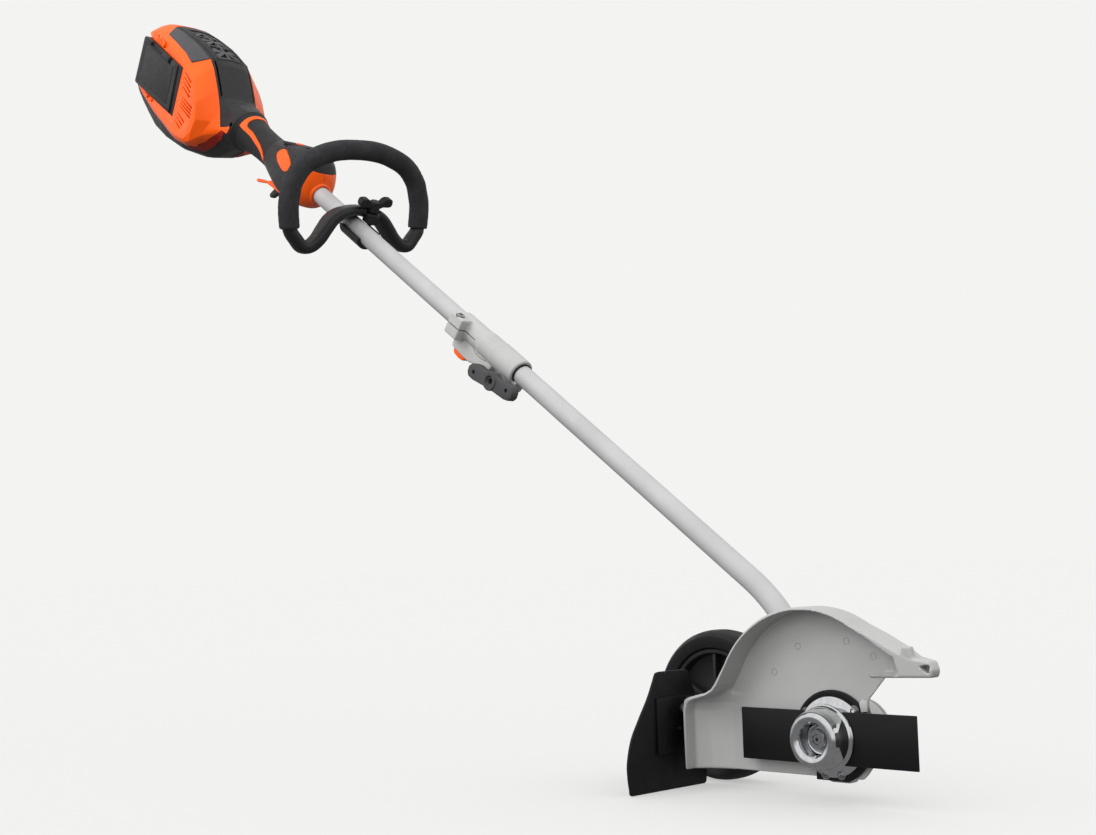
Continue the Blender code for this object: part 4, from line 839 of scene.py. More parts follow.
def guard_pieces():
    bm = bevelled(prism(guard_outline(), -17, 17), 2.4, 4, 20)
    rings = []
    for y, rear, front in ((-30, -163, 104), (-2, -163, 84), (8, -150, 78), (12, -136, 72), (14, -124, 64)):
        rings.append([Vector((x, y, z)) for x, z in guard_cavity(rear, front)])
    bm = cut(bm, loft(rings))
    bm = join(bm, bevelled(prism([(97, 82), (99, 90.5), (108, 90), (111, 78)], -16.8, -9), 1.2, 2))
    bm = cut(bm, bevelled(prism([(115.5, 72.5), (128.4, 73.6), (127.2, 65.2)], -30, -6), 0.6, 2))
    bm = cut(bm, prism([(80, 18.5), (134, -5), (150, -5), (150, 30), (80, 30)], 50, 130, "Z"))
    bm = cut(bm, rod(106.4, -6, 6, 120, "Y"))
    bm = cast(bm, 1.0, 3, 0.5)
    bm = cut(bm, rod(21, 0, 30, 72, "Y"))
    for place in (PIVOT, DEPTH_KNOB):
        boss = [(3.3, 16), (11.5, 16), (9.6, 19.5), (9, 24), (9, 49), (8.4, 49.7), (3.3, 49.7)]
        bm = join(bm, turned(boss, 48, "Y", place))
    for x, z in ((-70, 60), (-40, 86), (18, 92), (-112, 20), (48, 78), (-84, -10)):
        bm = cut(bm, ring(2.9, 3.3, 13.6, 20, 32, "Y", (x, 0, z)))
    bm = cut(bm, *(rod(2.3, 10, 20, 20, "Y", place) for place in screw_ring(36, 4, 30)))
    piece("guard_casting", bm, EDGER, "cast", "attachment", ("guard_shell",), 50)
    dome = [(0, 0.8), (4.8, 0.8), (4.8, -1.2), (4.4, -2.6), (3.0, -4.0), (0, -4.6)]
    cap = turned(dome, 40, "X", (-167.2, -13, 22.5))
    piece("guard_dome_bolt", cap, EDGER, "steel", "attachment")


def screw_ring(radius, count, start):
    angles = [math.radians(start + 360 * i / count) for i in range(count)]
    return [Vector((radius * math.cos(a), 0, radius * math.sin(a))) for a in angles]


def on_input(bm):
    bm.transform(Matrix.Translation((0, SHAFT_SIDE, 0)) @ Matrix.Rotation(INPUT_TILT - math.pi / 2, 4, "Y"))
    return bm


def gear_case_pieces():
    bm = turned([(0, 17.3), (34, 17.3), (34, 57), (32.5, 60), (0, 60)], 96, "Y")
    bm = join(bm, on_input(turned([(0, 12), (17.5, 12), (17.5, 66), (18.6, 68), (18.6, 80), (17, 84),
                                   (0, 84)], 72)))
    bm = join(bm, bevelled(block((-13, 17.3, -45), (13, 34, 0)), 3.0))
    for turn in (-50, 0, 50):
        rib = block((-2, 20, 26), (2, 56, 37.5))
        rib.transform(Matrix.Rotation(math.radians(turn + 155), 4, "Y"))
        bm = join(bm, bevelled(rib, 0.8, 2))
    bm = cast(bm, 1.0, 4)
    bm = cut(bm, rod(27, 26, 70, 72, "Y"), rod(15.3, 10, 40, 72, "Y"), on_input(rod(13.3, 18, 47, 56)))
    bm = cut(bm, on_input(rod(12.3, 47, 90, 96)), on_input(block((5, -1, 62), (30, 1, 90))))
    piece("right_angle_casting", bm, EDGER, "cast_small", "attachment", ("gear_case",), 50)
    lid = turned([(6.2, 55), (13, 55), (13, 60.3), (33.2, 60.3), (33.5, 60.8), (33.5, 63.2), (32.6, 64),
                  (20, 64), (18, 62.6), (8.5, 62.6), (7.5, 64), (6.2, 64)], 96, "Y")
    piece("case_lid_turned", lid, EDGER, "cast_small", "attachment", ("gear_case_lid",))
    for i, place in enumerate(screw_ring(28, 4, 45)):
        piece(f"lid_screw_{i + 1}", screw(3.2, 2.2, 0.45, 32, "Y", place + Vector((0, 63.9, 0))), EDGER,
              "steel", "attachment")
    outline = [(-21, -42), (-21, -30)] + arc((0, 0), 45, 205, -70, 72)
    cover = bevelled(prism(outline, 9.6, 13.7), 0.8, 3)
    cover = cut(cover, rod(9, 5, 20, 56, "Y"), ring(40.6, 41.4, 9, 10.1, 96, "Y"))
    piece("bearing_plate", cover, EDGER, "black_steel", "attachment", ("gear_cover",))
    places = ((-9, -36), (9, -35), (27, 26), (-30, 22), (36, -12))
    for i, (x, z) in enumerate(places):
        washer = ring(2.6, 5.4, 8.6, 9.7, 40, "Y", (x, 0, z))
        piece(f"plate_washer_{i + 1}", washer, EDGER, "steel", "attachment")
        head = screw(3.8, 2.6, 0.5, 36, "Y", (x, 8.7, z), -1)
        piece(f"plate_screw_{i + 1}", head, EDGER, "steel", "attachment")
    tab = bevelled(prism([(36, 25), (43, 26), (43.5, 36), (38, 38), (34, 34)], 6.8, 9.4), 0.7, 2)
    piece("plate_tab", tab, EDGER, "cast_small", "attachment")


def spindle_pieces():
    front = -1.5
    shaft = [(0, 59), (5, 59), (6, 58), (6, 5), (5, 4.6), (5, -15.3), (4.3, -16.2), (1.9, -16.2),
             (1.5, -15.6), (1.5, -12), (0, -12)]
    piece("spindle_turned", turned(shaft, 64, "Y"), EDGER, "steel", "blade_group", ("output_shaft",))
    flange = [(6.3, 8.6), (38, 8.9), (38.7, 8.5), (38.7, 7.8), (38, 7.3), (33, 6.2), (25, 4.4), (22.6, 2.6),
              (22, 1.8), (5.3, 1.8), (5.3, 4.4), (6.3, 5.2)]
    piece("chrome_dust_ring", turned(flange, 128, "Y"), EDGER, "chrome", "blade_group", ("dust_flange",), 28)
    blade = cut(block((-101.6, -1.5, -25.4), (101.6, 1.5, 25.4), 0.5, segments=2), rod(5.3, -5, 5, 48, "Y"))
    piece("edger_blade", blade, EDGER, "black_steel", "blade_group", ("blade",))
    outer = [(5.3, front - 0.3), (31.6, front - 0.3), (32.6, front - 0.8), (32.9, front - 2.0),
             (32.4, front - 3.0), (31, front - 3.6), (30, front - 5), (29, front - 12), (28, front - 17.5),
             (27.0, front - 19.8)]
    roll = [(26.8, front - 21.4), (26, front - 23), (24.4, front - 24.4), (22.2, front - 25),
            (19.8, front - 24.8), (17.6, front - 23.8), (16.2, front - 22.2)]
    bowl = [(15.6, front - 20), (15.3, front - 16), (15, front - 11.5), (14.2, front - 9.6),
            (12.6, front - 8.8), (5.3, front - 8.4)]
    piece("chrome_cup", turned(outer + roll + bowl, 160, "Y"), EDGER, "chrome", "blade_group",
          ("blade_cup",), 24)
    base = turned([(5.3, front - 9.4), (12.5, front - 9.4), (12.8, front - 9.8), (12.4, front - 10.6),
                   (10.4, front - 10.9), (5.3, front - 10.9)], 96, "Y")
    hexagon = turned([(5.3, front - 10), (10.2, front - 10), (10.2, front - 15.2), (5.3, front - 15.2)], 6,
                     "Y")
    cone = turned([(0, front - 9), (14, front - 9), (11, front - 13.2), (9.4, front - 15.0),
                   (9.0, front - 15.2), (0, front - 15.2)], 72, "Y")
    nut = join(base, keep(hexagon, cone))
    piece("hex_flange_nut", nut, EDGER, "steel", "blade_group", ("blade_nut",), 25)


def both_sides(half):
    """A profile of (radius, height) and its mirror image above it."""
    return half + [(r, -h) for r, h in half[::-1]]


def wheel_pieces():
    centre = WHEEL + Vector((0, 79, 0))
    half = [(60.5, -15), (61.5, -17.5), (63, -18.4), (66.4, -18.7), (67, -19), (73.5, -19), (74.4, -18.3),
            (77.4, -15), (79, -11.6), (79.8, -7), (80, -4), (79.2, -3.6), (79.2, -2.4), (80, -2)]
    tyre = turned(both_sides(half), 144, "Y", centre)
    piece("ribbed_tyre", tyre, EDGER, "tyre", "wheel", ("wheel_tyre",), 30)
    half = [(6.5, -16), (12, -16.4), (13, -15.4), (13.6, -5), (16, -4), (52, -4), (54, -5.5), (55, -14.6),
            (56, -15.6), (59.4, -15.6), (60, -15)]
    bm = turned(both_sides(half), 120, "Y", centre)
    spokes = []
    for i in range(6):
        spoke = bevelled(block((12, -13.5, -1.9), (54.6, 13.5, 1.9)), 0.6, 2)
        spoke.transform(Matrix.Translation(centre) @ Matrix.Rotation(math.radians(60 * i + 30), 4, "Y"))
        spokes.append(spoke)
    bm = join(bm, *spokes)
    piece("spoked_hub", bm, EDGER, "black", "wheel", ("wheel_hub",), 40)
    axle = [(0, 45.2), (8, 45), (9, 46), (9, 48.6), (8.4, 49.6), (6.2, 49.6), (6.2, 96), (11, 96),
            (11.4, 96.8), (11, 98.2), (9.6, 99.6), (6, 100.2), (0, 100.4)]
    piece("shoulder_axle", turned(axle, 72, "Y", WHEEL), EDGER, "steel", "height_arm", ("wheel_axle",))


def arm_pieces():
    px, pz = PIVOT.x, PIVOT.z
    points = arc((WHEEL.x, WHEEL.z), 14, 270, 90, 30) + [(px - 30, pz + 26), (px - 26, pz + 46)]
    points += arc((px, pz), 65, 112, 68, 24) + [(px + 13, pz + 20)] + arc((px, pz), 14, 20, -90, 24)
    bm = bevelled(prism(points, 50, 54), 0.7, 2)
    slot = arc((px, pz), 59, 107, 73, 24) + arc((px, pz), 51, 73, 107, 24)
    bm = cut(bm, rod(6.5, 40, 60, 48, "Y", WHEEL), rod(4.2, 40, 60, 40, "Y", PIVOT), prism(slot, 40, 60))
    for x, z in arc((px, pz), 62, 80, 100, 3):
        bm = cut(bm, block((x - 0.5, 53.5, z - 2.2), (x + 0.5, 56, z + 2.2)))
    piece("depth_arm_plate", bm, EDGER, "black_steel", "height_arm", ("wheel_arm",))
    hexagon = turned([(0, 54.3), (8, 54.3), (8, 58.3), (0, 58.3)], 6, "Y", PIVOT)
    cone = turned([(0, 53), (9, 53), (9, 56.6), (6.6, 58.3), (0, 58.3)], 64, "Y", PIVOT)
    bm = join(keep(hexagon, cone), rod(3.0, 36, 54.5, 32, "Y", PIVOT))
    piece("pivot_hex_bolt", bm, EDGER, "steel", "attachment", ("arm_pivot_bolt",), 28)
    bm = turned([(0, 36), (3, 36), (3, 54.4), (9, 54.4), (9.6, 55), (9.6, 57.6), (8, 60), (0, 61)], 56, "Y",
                DEPTH_KNOB)
    wing = block(DEPTH_KNOB + Vector((-4.6, 56, -14)), DEPTH_KNOB + Vector((4.6, 67, 14)))
    bm = join(bm, bevelled(wing, 2.4, 3))
    piece("height_wing_knob", cast(bm, 0.6, 3), EDGER, "black", "height_clamp", ("height_knob",), 55)


FLAP_X = -188
FLAP_BOLT = (0, -4, 0)


def flap_pieces():
    right = curve([(-76, -57), (-79, -44), (-80, -28), (-74.5, -6), (-63, 13), (-49, 33), (-41, 47),
                   (-36.5, 56)], 8)
    left = curve([(18, 54), (23.6, 40), (29, 24), (36, 8), (40, -12), (43.6, -32), (44, -44), (44, -57)], 8)
    corner_right = arc((-72, -58), 4, 180, 260, 7)
    corner_left = arc((40, -58), 4, -80, 0, 7)
    top = [(-34.5, 59), (-30, 60), (-6, 60), (12, 59.8), (17, 58)]
    outline = right + top + left + corner_left[::-1] + corner_right[::-1]
    bm = bevelled(prism(outline, FLAP_X, FLAP_X + 3, "X"), 0.7, 2, 60)
    bm = cut(bm, rod(2.3, -200, -180, 24, "X", FLAP_BOLT))
    for vert in bm.verts:
        low = max(0.0, (20 - vert.co.z) / 80)
        vert.co.x -= 3.2 * low * low
    piece("rubber_debris_flap", bm, EDGER, "rubber", "attachment", ("debris_flap",), 40)
    fold = [(-167.6, -8.2), (-169.9, -8.2), (-169.9, 8), (-181.9, 13), (-181.9, -38), (-184.7, -38),
            (-184.7, 16), (-167.6, 10.5)]
    bm = bevelled(prism(fold, -24, 34, "Z"), 0.8, 2)
    bm = cut(bm, rod(2.3, -195, -175, 24, "X", FLAP_BOLT), rod(2.8, -175, -160, 24, "X", (0, -4, 24)))
    piece("folded_bracket", bm, EDGER, "black_steel", "attachment", ("flap_bracket",))


# ---------------------------------------------------------------- power head

HEAD_REAR = 1520
HEAD_ROWS = [
    # station, then half of the section as (y, t):
    # top, crown edge, spine edge, panel edge, ridge, lower ridge, lip, belly, bottom
    (1242.4, (0, 27.5), (11, 25.4), (19.5, 19), (24.8, 10), (26.5, 1), (25.4, -9), (20.5, -18),
     (11.5, -25), (0, -27.5)),
    (1254, (0, 30), (15, 28.5), (25, 21), (31, 7), (33, -3), (32, -12), (27, -20), (16, -27), (0, -31)),
    (1276, (0, 30), (17, 29), (27, 20), (31.7, -10), (34, -13), (34.2, -16), (33, -21), (22, -38), (0, -45)),
    (1291, (0, 27), (17, 26), (27, 21), (31.8, 11), (41, -11), (45, -24), (47, -33), (29, -51), (0, -57)),
    (1302, (0, 28), (17, 27.5), (27, 26), (31.8, 22), (60, -16), (60.5, -34), (58, -50), (31, -60), (0, -66)),
    (1313, (0, 38), (17, 37.5), (27, 35.5), (31.8, 32), (60.5, 7), (60.5, -52), (57, -57), (32, -68),
     (0, -73)),
    (1328, (0, 51), (18, 50), (27.5, 47.5), (31.9, 44), (60.5, 19), (60, -55), (54, -62), (33, -74),
     (0, -79)),
    (1342, (0, 63), (18, 61.5), (28, 58.5), (31.9, 54.5), (60, 28), (59.5, -57), (54, -65), (33, -78),
     (0, -83)),
    (1356, (0, 70), (19, 68.5), (28, 65.5), (32, 61.5), (58.5, 34), (58.7, -57), (53, -66), (33, -80),
     (0, -86)),
    (1400, (0, 75), (19, 73.5), (28.3, 70.5), (32, 66.5), (55.5, 44), (55.2, -53), (50, -64), (34, -84),
     (0, -91)),
    (1440, (0, 73.5), (19, 72), (28.4, 69.5), (32, 66.5), (53.7, 46), (53.2, -49), (48, -62), (33, -83),
     (0, -90)),
    (1475, (0, 69.5), (19, 68.5), (28.4, 66.5), (32, 64), (52.2, 46), (51.7, -46), (45, -60), (30, -76),
     (0, -83)),
    (1500, (0, 62.5), (19, 61.5), (28, 60), (31.9, 57.5), (50.2, 44), (49.7, -42), (42, -54), (26, -66),
     (0, -72)),
    (HEAD_REAR, (0, 52), (19, 51), (28, 49), (31, 46.5), (43, 36), (42, -36), (36, -46), (22, -54), (0, -58)),
]
PANEL_LINE = [(-12, 1200), (-12, 1268), (-17, 1273), (-42, 1291), (-57, 1303), (-63, 1318), (-64, 1341)]
PANEL_LINE += [(-58, 1429), (-48, 1473), (-42, 1494), (-40, 1540)]
SEAM_LINE = [(60, 1200), (60, 1290), (31, 1298), (14, 1312), (22, 1345), (22, 1475.5)]
SPINE_HALF = 32.0
SPINE_END = 1476.0


def offset_inward(points, distance):
    made = []
    for i, here in enumerate(points):
        before, after = points[i - 1], points[(i + 1) % len(points)]
        first = (here - before).normalized()
        second = (after - here).normalized()
        normal = Vector((-first.y, first.x)) + Vector((-second.y, second.x))
        scale = max(0.5, normal.dot(Vector((-first.y, first.x))))
        made.append(here + normal * (distance / scale))
    return made


def head_rings(inset=0.0):
    made = []
    for s, *half in HEAD_ROWS:
        outline = [Vector((t, y)) for y, t in half]
        outline += [Vector((t, -y)) for y, t in half[-2:0:-1]]
        depth = min(s, HEAD_REAR - inset)
        made.append([Vector((p.x, p.y, depth)) for p in offset_inward(outline, inset)])
    return made


def head_outer(trim=0.0, soft=3.2):
    """The head's outside, with its long edges softly rounded."""
    return shaped(loft(head_rings(trim)), ("BEVEL", {"width": soft, "segments": 4, "limit_method": "ANGLE",
                                                     "angle_limit": math.radians(11),
                                                     "use_clamp_overlap": True}))


def head_inner(inset=3.0):
    rings = head_rings(inset)
    rings[0] = [p - Vector((0, 0, 1)) for p in rings[0]]
    return loft(rings)


def head_layer(outside, inside):
    """What lies between two depths under the head's surface."""
    return cut(head_outer(outside), head_inner(inside))


def battery_outline(grow=0.0, front=0.0, rear=0.0):
    """The battery's side view as (t, s): both ends lean forward towards the bottom."""
    low, high = -38 - grow, 33 + grow
    ends = [1381 + front - grow + 0.25 * (t - 33) for t in (low, high)]
    backs = [1505 - rear + 0.1875 * (t - 33) for t in (high, low)]
    return [(low, ends[0]), (high, ends[1]), (high, backs[0]), (low, backs[1])]


def battery_slot(grow=0.3):
    low, high = battery_outline(grow)[:2]
    return shaft_prism([low, high, (high[0], 1600), (low[0], 1600)], -90, 90)


LATCHES = ((36, -54, 1450), (45, -42, 1480)), ((-46, -54, 1436), (-41.5, -43, 1462))
LATCH_ROOM = Vector((0.4, 20, 0.4))


def slanted(start, end, width, low, high, taper=0.45):
    """A tapering slot on the head's side, from one (up, station) to another, cut between two widths."""
    a, b = Vector(start), Vector(end)
    along = (b - a).normalized()
    across = Vector((-along.y, along.x))
    points = [a + across * width / 2, a - along * width * 0.4, a - across * width / 2,
              b - across * width / 2 * taper, b + along * width * 0.3, b + across * width / 2 * taper]
    return shaft_prism([(p.x, p.y) for p in points], low, high)


def side_vents():
    """The three groups of slots just in front of the battery, on one side: ends as (t, s), and a width."""
    made = []
    for i in range(4):
        made.append(((25 - 6.4 * i, 1343 - 3 * i), (30.5 - 6.8 * i, 1369 - 2.4 * i), 3.8))
    for i in range(4):
        made.append(((-5 - 4.6 * i, 1318 - 1.0 * i), (-2.5 - 4.4 * i, 1353 - 0.6 * i), 3.2))
    for i in range(3):
        made.append(((-31 - 6 * i, 1326 + 3 * i), (-26.5 - 6.4 * i, 1350), 3.6))
    return made


def side_shell_pieces():
    outline = PANEL_LINE + [(120, 1540), (120, 1200)]
    rear = [(33, SPINE_END), (120, SPINE_END), (120, 1540), (33, 1540)]
    for side, name in ((-1, "right"), (1, "left")):
        low, high = sorted((side * (SPINE_HALF + GAP), side * 90))
        region = shaft_prism(outline, low, high)
        low, high = sorted((side * 0.15, side * 60))
        region = join(region, shaft_prism(rear, low, high))
        bm = keep(head_layer(0, 3), region)
        bm = cut(bm, battery_slot())
        low, high = sorted((side * 45, side * 90))
        for start, end, width in side_vents():
            bm = cut(bm, slanted(start, end, width, low, high))
        if side < 0:
            for low, high in LATCHES:
                bm = cut(bm, block(Vector(low) - LATCH_ROOM, Vector(high) + LATCH_ROOM))
        bm = bevelled(bm, 0.55, 2, 35)
        piece(f"side_panel_{name}", bm, SHAFT, "orange", "upper_unit", (f"side_shell_{name}",), 30)
        # A darker orange sheet under the vent slots: painted shade seen through the slots.
        low, high = sorted((side * 40, side * 59.0))
        shade_sheet = keep(head_layer(3.1, 4.4), shaft_prism([(36, 1308), (36, 1378), (-48, 1356), (-48, 1308)],
                                                       low, high))
        piece(f"vent_painted_shade_{name}", shade_sheet, SHAFT, "orange_painted_shade", "upper_unit")


def spine_pieces():
    # A thin strip of the darkened orange along the side shell's lower edge: painted shade along the lip.
    lip = [(-14, 1262), (-19, 1265), (-44, 1282), (-60, 1295), (-66, 1318), (-63, 1318), (-57.3, 1302.6),
           (-42.3, 1290.6), (-17.3, 1272.6), (-12.3, 1267.6)]
    for side, name in ((-1, "right"), (1, "left")):
        low, high = sorted((side * 26, side * 80))
        strip = keep(head_layer(-0.3, 1.2), shaft_prism(lip, low, high))
        piece(f"lip_painted_shade_{name}", strip, SHAFT, "orange_painted_shade", "upper_unit")
    outline = [(t + GAP, s) for t, s in SEAM_LINE] + [(120, 1475.5), (120, 1200)]
    bm = keep(head_layer(0.6, 3), shaft_prism(outline, -SPINE_HALF, SPINE_HALF))
    bm = cut(bm, block((50, -23.5, 1351.7), (120, 23.5, 1460.3)))
    for side in (-1, 1):
        groove = [(52, 1331), (60, 1345), (90, 1352), (90, 1470), (50, 1470), (50, 1352)]
        low, high = sorted((side * 27.3, side * 28.5))
        bm = cut(bm, cut(shaft_prism(groove, low, high), loft(head_rings(2.0)[5:14])))
        slot = [(31, 1300), (49, 1316), (58, 1334), (66, 1340), (72, 1352), (54, 1352), (46, 1340),
                (36, 1324), (24, 1308)]
        low, high = sorted((side * 26.6, side * 29.4))
        bm = cut(bm, shaft_prism(slot, low, high))
    bm = bevelled(bm, 0.5, 2, 35)
    piece("spine_cover", bm, SHAFT, "dark", "upper_unit", ("top_spine",), 30)
    for side, name in ((-1, "right"), (1, "left")):
        corners = [(side * 33, 1359), (side * 50, 1374), (side * 45, 1466), (side * 33, 1474)]
        pad = bevelled(keep(head_layer(-1.4, 0.15), prism(corners, 20, 90, "X")), 0.7, 3, 30)
        piece(f"shoulder_pad_{name}", pad, SHAFT, "panel", "upper_unit")


GRILLE = (50, -23.2, 1352), (120, 23.2, 1460)


def grille_pieces():
    bm = keep(head_layer(2.0, 4.4), block(*GRILLE))
    for i in range(5):
        s = 1360 + 18.5 * i
        inner_tip, outer_tip = (s + 14, s + 5) if i % 2 else (s, s + 9)
        for side in (-1, 1):
            bm = cut(bm, triangle_hole([(side * 1.8, s), (side * 1.8, s + 14), (side * 17.5, inner_tip)]))
            bm = cut(bm, triangle_hole([(side * 6.5, s + 16.2), (side * 19.5, s + 16.2),
                                        (side * 19.5, outer_tip)]))
    bm = bevelled(bm, 0.4, 2, 35)
    piece("grille_panel", bm, SHAFT, "panel", "upper_unit", ("top_grille",), 30)
    frame_bar = keep(head_layer(0.2, 3.2), cut(block(*GRILLE),
                                               block((50, -20.8, 1354.6), (130, 20.8, 1457.4))))
    piece("grille_rim", bevelled(frame_bar, 0.4, 2, 35), SHAFT, "dark", "upper_unit")
    under = keep(head_layer(5.0, 6.0), block((50, -24, 1350), (120, 24, 1462)))
    piece("grille_screen", under, SHAFT, "black", "upper_unit")


def triangle_hole(ends):
    """A triangular hole straight down through the grille, from its corners as (y, s)."""
    return prism(ends, 50, 110, "X")


def housing_pieces():
    below = [(-120, 1200)] + [(t - GAP, s) for t, s in PANEL_LINE] + [(-120, 1540)]
    middle = SEAM_LINE + [(-60, 1475.5), (-60, 1200)]
    region = join(shaft_prism(below, -90, 90), shaft_prism(middle, -SPINE_HALF, SPINE_HALF))
    bm = cut(keep(head_layer(0.6, 3), region), battery_slot())
    for side in (-1, 1):
        low, high = sorted((side * 22, side * 70))
        bm = cut(bm, rod(3.4, low, high, 32, "Y", (3, 0, 1255)))
    for i in range(7):
        s = 1352 + 15 * i
        bm = cut(bm, bevelled(block((-100, -22, s), (-76, 22, s + 6)), 1.0, 2))
    bm = bevelled(bm, 0.6, 2, 35)
    collar = [(12.3, 1243), (24, 1243), (25.7, 1244.6), (31, 1250), (31, 1252), (12.3, 1257)]
    bm = join(bm, turned(collar, 96))
    plate = keep(ring(12, 70, 1301, 1305.6, 72), block((-60, -31.5, 1290), (19, 31.5, 1320)))
    bm = join(bm, keep(plate, loft(head_rings(1.5))))
    piece("lower_housing", bm, SHAFT, "dark", "upper_unit", ("motor_housing",), 30)


def battery_pieces():
    bm = bevelled(shaft_prism(battery_outline(), -60.5, 60.5), 3.5, 4)
    for side in (-1, 1):
        low, high = sorted((side * 58.2, side * 80))
        lip = cut(shaft_prism(battery_outline(3, -3), low, high),
                  shaft_prism(battery_outline(3, 13, -9), -90, 90))
        bm = cut(bm, lip)
        low, high = sorted((side * 59.8, side * 80))
        step = cut(bevelled(shaft_prism(battery_outline(-7, 12, 12), low, high), 2.5, 3),
                   bevelled(shaft_prism(battery_outline(-8.2, 13.2, 13.2), -90, 90), 2.2, 3))
        bm = cut(bm, step)
        low, high = sorted((side * 56, side * 80))
        bm = cut(bm, bevelled(block((27, low, 1440), (40, high, 1480)), 1.5, 2),
                 bevelled(block((24, low, 1410), (40, high, 1419)), 1.2, 2))
    bm = bevelled(bm, 0.6, 2, 35)
    piece("battery_case", bm, SHAFT, "dark", "battery", ("battery_pack",), 30)
    upper = [(36.2, 1450.2), (36.2, 1479.8), (42, 1479.8), (44.8, 1474), (44.8, 1455), (42, 1450.2)]
    bm = bevelled(shaft_prism(upper, -56.5, -42.2), 1.4, 3, 25)
    for i in range(3):
        s = 1458 + 5.5 * i
        bm = cut(bm, bevelled(block((30, -60, s), (50, -55.6, s + 2.2)), 0.4, 1))
    piece("hook_latch", bm, SHAFT, "orange", "latch_upper", ("battery_latch_upper",), 35)
    lower = bevelled(block((-45.8, -55.6, 1436.2), (-41.7, -43.2, 1461.8)), 1.2, 3)
    lower = cut(lower, bevelled(block((-50, -70, 1445.5), (-30, -49, 1451.5)), 0.6, 2))
    piece("clip_latch", lower, SHAFT, "orange", "latch_lower", ("battery_latch_lower",), 35)


shaft_pieces()
loop_pieces()
control_pieces()
grip_pieces()
coupler_pieces()
guard_pieces()
gear_case_pieces()
spindle_pieces()
wheel_pieces()
arm_pieces()
flap_pieces()
side_shell_pieces()
spine_pieces()
grille_pieces()
housing_pieces()
battery_pieces()


# ---------------------------------------------------------------- studio

BACKDROP = srgb(243, 244, 242)
DOME_LOW = (0.22, 0.22, 0.22, 1.0)
DOME_STRENGTH = 0.8
FLOOR_GLOW = 0.50
FLOOR_MATT = 0.62


def studio():
    """A pale backdrop for the camera, and a dome of light that is dim below the horizon."""
    world = bpy.data.worlds.new("studio")
    bpy.context.scene.world = world
    world.use_nodes = True
    nodes, links = world.node_tree.nodes, world.node_tree.links
    nodes.clear()
    out = nodes.new("ShaderNodeOutputWorld")
    pale = nodes.new("ShaderNodeBackground")
    pale.inputs["Color"].default_value = BACKDROP
    dome = nodes.new("ShaderNodeBackground")
    ramp = nodes.new("ShaderNodeValToRGB")
    coords = nodes.new("ShaderNodeTexCoord")
    split = nodes.new("ShaderNodeSeparateXYZ")
    links.new(coords.outputs["Generated"], split.inputs["Vector"])
    spread = nodes.new("ShaderNodeMapRange")
    spread.inputs["From Min"].default_value = -1.0
    links.new(split.outputs["Z"], spread.inputs["Value"])
    links.new(spread.outputs["Result"], ramp.inputs["Fac"])
    ramp.color_ramp.elements[0].position = 0.45
    ramp.color_ramp.elements[0].color = DOME_LOW
    ramp.color_ramp.elements[1].position = 0.57
    ramp.color_ramp.elements[1].color = (1.0, 1.0, 1.0, 1)
    links.new(ramp.outputs["Color"], dome.inputs["Color"])
    dome.inputs["Strength"].default_value = DOME_STRENGTH
    path = nodes.new("ShaderNodeLightPath")
    mix = nodes.new("ShaderNodeMixShader")
    links.new(path.outputs["Is Camera Ray"], mix.inputs["Fac"])
    links.new(dome.outputs["Background"], mix.inputs[1])
    links.new(pale.outputs["Background"], mix.inputs[2])
    links.new(mix.outputs["Shader"], out.inputs["Surface"])


def floor():
    """A wide pale floor that glows at the backdrop's own brightness and takes only a faint contact shadow."""
    bm = bmesh.new()
    bmesh.ops.create_grid(bm, x_segments=4, y_segments=4, size=30)
    mesh = bpy.data.meshes.new("floor")
    bm.to_mesh(mesh)
    obj = bpy.data.objects.new("floor", mesh)
    obj.location = (0, 0, -0.0004)
    bpy.context.scene.collection.objects.link(obj)
    mat = bpy.data.materials.new("pale_floor")
    mat.use_nodes = True
    nodes, links = mat.node_tree.nodes, mat.node_tree.links
    nodes.clear()
    out = nodes.new("ShaderNodeOutputMaterial")
    glow = nodes.new("ShaderNodeEmission")
    glow.inputs["Color"].default_value = BACKDROP
    glow.inputs["Strength"].default_value = FLOOR_GLOW
    matt = nodes.new("ShaderNodeBsdfDiffuse")
    matt.inputs["Color"].default_value = tuple(c * FLOOR_MATT for c in BACKDROP[:3]) + (1.0,)
    add = nodes.new("ShaderNodeAddShader")
    links.new(glow.outputs["Emission"], add.inputs[0])
    links.new(matt.outputs["BSDF"], add.inputs[1])
    links.new(add.outputs["Shader"], out.inputs["Surface"])
    mesh.materials.append(mat)
    obj.visible_diffuse = False
    obj.visible_glossy = False
    return obj


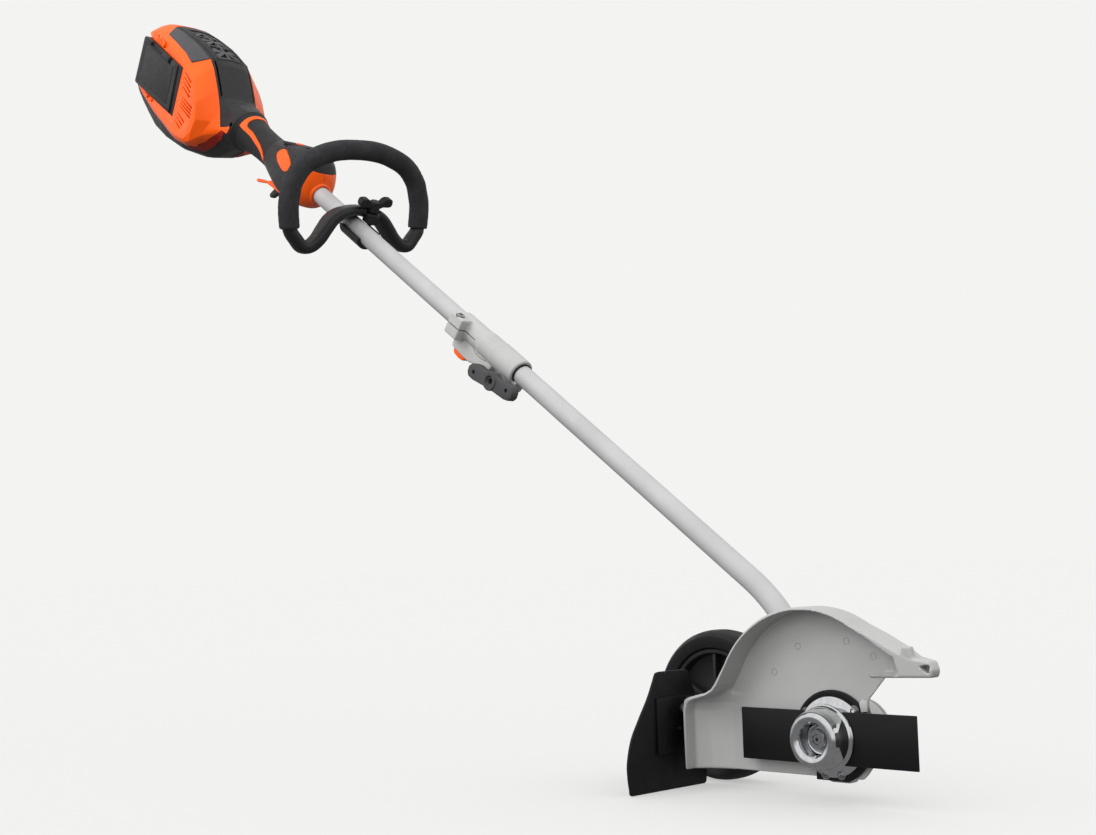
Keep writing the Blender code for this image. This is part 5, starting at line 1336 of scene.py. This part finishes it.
def area(name, place, aim, size, power):
    data = bpy.data.lights.new(name, "AREA")
    data.shape = "RECTANGLE"
    data.size, data.size_y = size
    data.energy = power
    obj = bpy.data.objects.new(name, data)
    bpy.context.scene.collection.objects.link(obj)
    obj.location = place
    obj.rotation_mode = "QUATERNION"
    obj.rotation_quaternion = (Vector(aim) - Vector(place)).to_track_quat("-Z", "Y")
    obj.visible_glossy = False
    obj.light_linking.receiver_collection = LIT


CAMERA_AZIMUTH = math.radians(44.946)
CAMERA_RISE = math.radians(-4.957)
CAMERA_ROLL = math.radians(1.704)
CAMERA_DISTANCE = 1570.27
CAMERA_SHIFT = (268.48, -308.66)
LENS = 1629.64 / 1096 * 36


def camera():
    """The camera, placed by its distance from the blade and the blade's offset from the view's middle."""
    a, e, r = CAMERA_AZIMUTH, CAMERA_RISE, CAMERA_ROLL
    back = Vector((math.sin(a) * math.cos(e), -math.cos(a) * math.cos(e), math.sin(e)))
    right = Vector((math.cos(a), math.sin(a), 0))
    up = back.cross(right)
    x = right * math.cos(r) - up * math.sin(r)
    y = right * math.sin(r) + up * math.cos(r)
    place = BLADE - x * CAMERA_SHIFT[0] - y * CAMERA_SHIFT[1] + back * CAMERA_DISTANCE
    data = bpy.data.cameras.new("camera")
    data.lens = LENS
    data.sensor_width = 36
    data.clip_start = 0.02
    data.clip_end = 100
    obj = bpy.data.objects.new("camera", data)
    bpy.context.scene.collection.objects.link(obj)
    turn = Matrix((x, y, back)).transposed().to_4x4()
    obj.matrix_world = Matrix.Translation(place * MM) @ turn
    bpy.context.scene.camera = obj


studio()
FLOOR = floor()
camera()
bpy.context.scene.view_settings.view_transform = "Standard"


def lit_only():
    """The object without the floor, for the lights that model its shape."""
    made = bpy.data.collections.new("lit_pieces")
    for obj in bpy.context.scene.objects:
        if obj.type == "MESH" and obj != FLOOR:
            made.objects.link(obj)
    return made


LIT = lit_only()
area("key", (-0.6, -2.2, 2.6), (0.1, 0, 0.5), (1.8, 1.8), 64)
area("rim", (1.8, 1.6, 2.0), (0.1, 0, 0.5), (1.6, 1.2), 22)
area("front", (1.2, -2.5, 1.0), (0.3, 0, 0.3), (0.9, 1.6), 24)
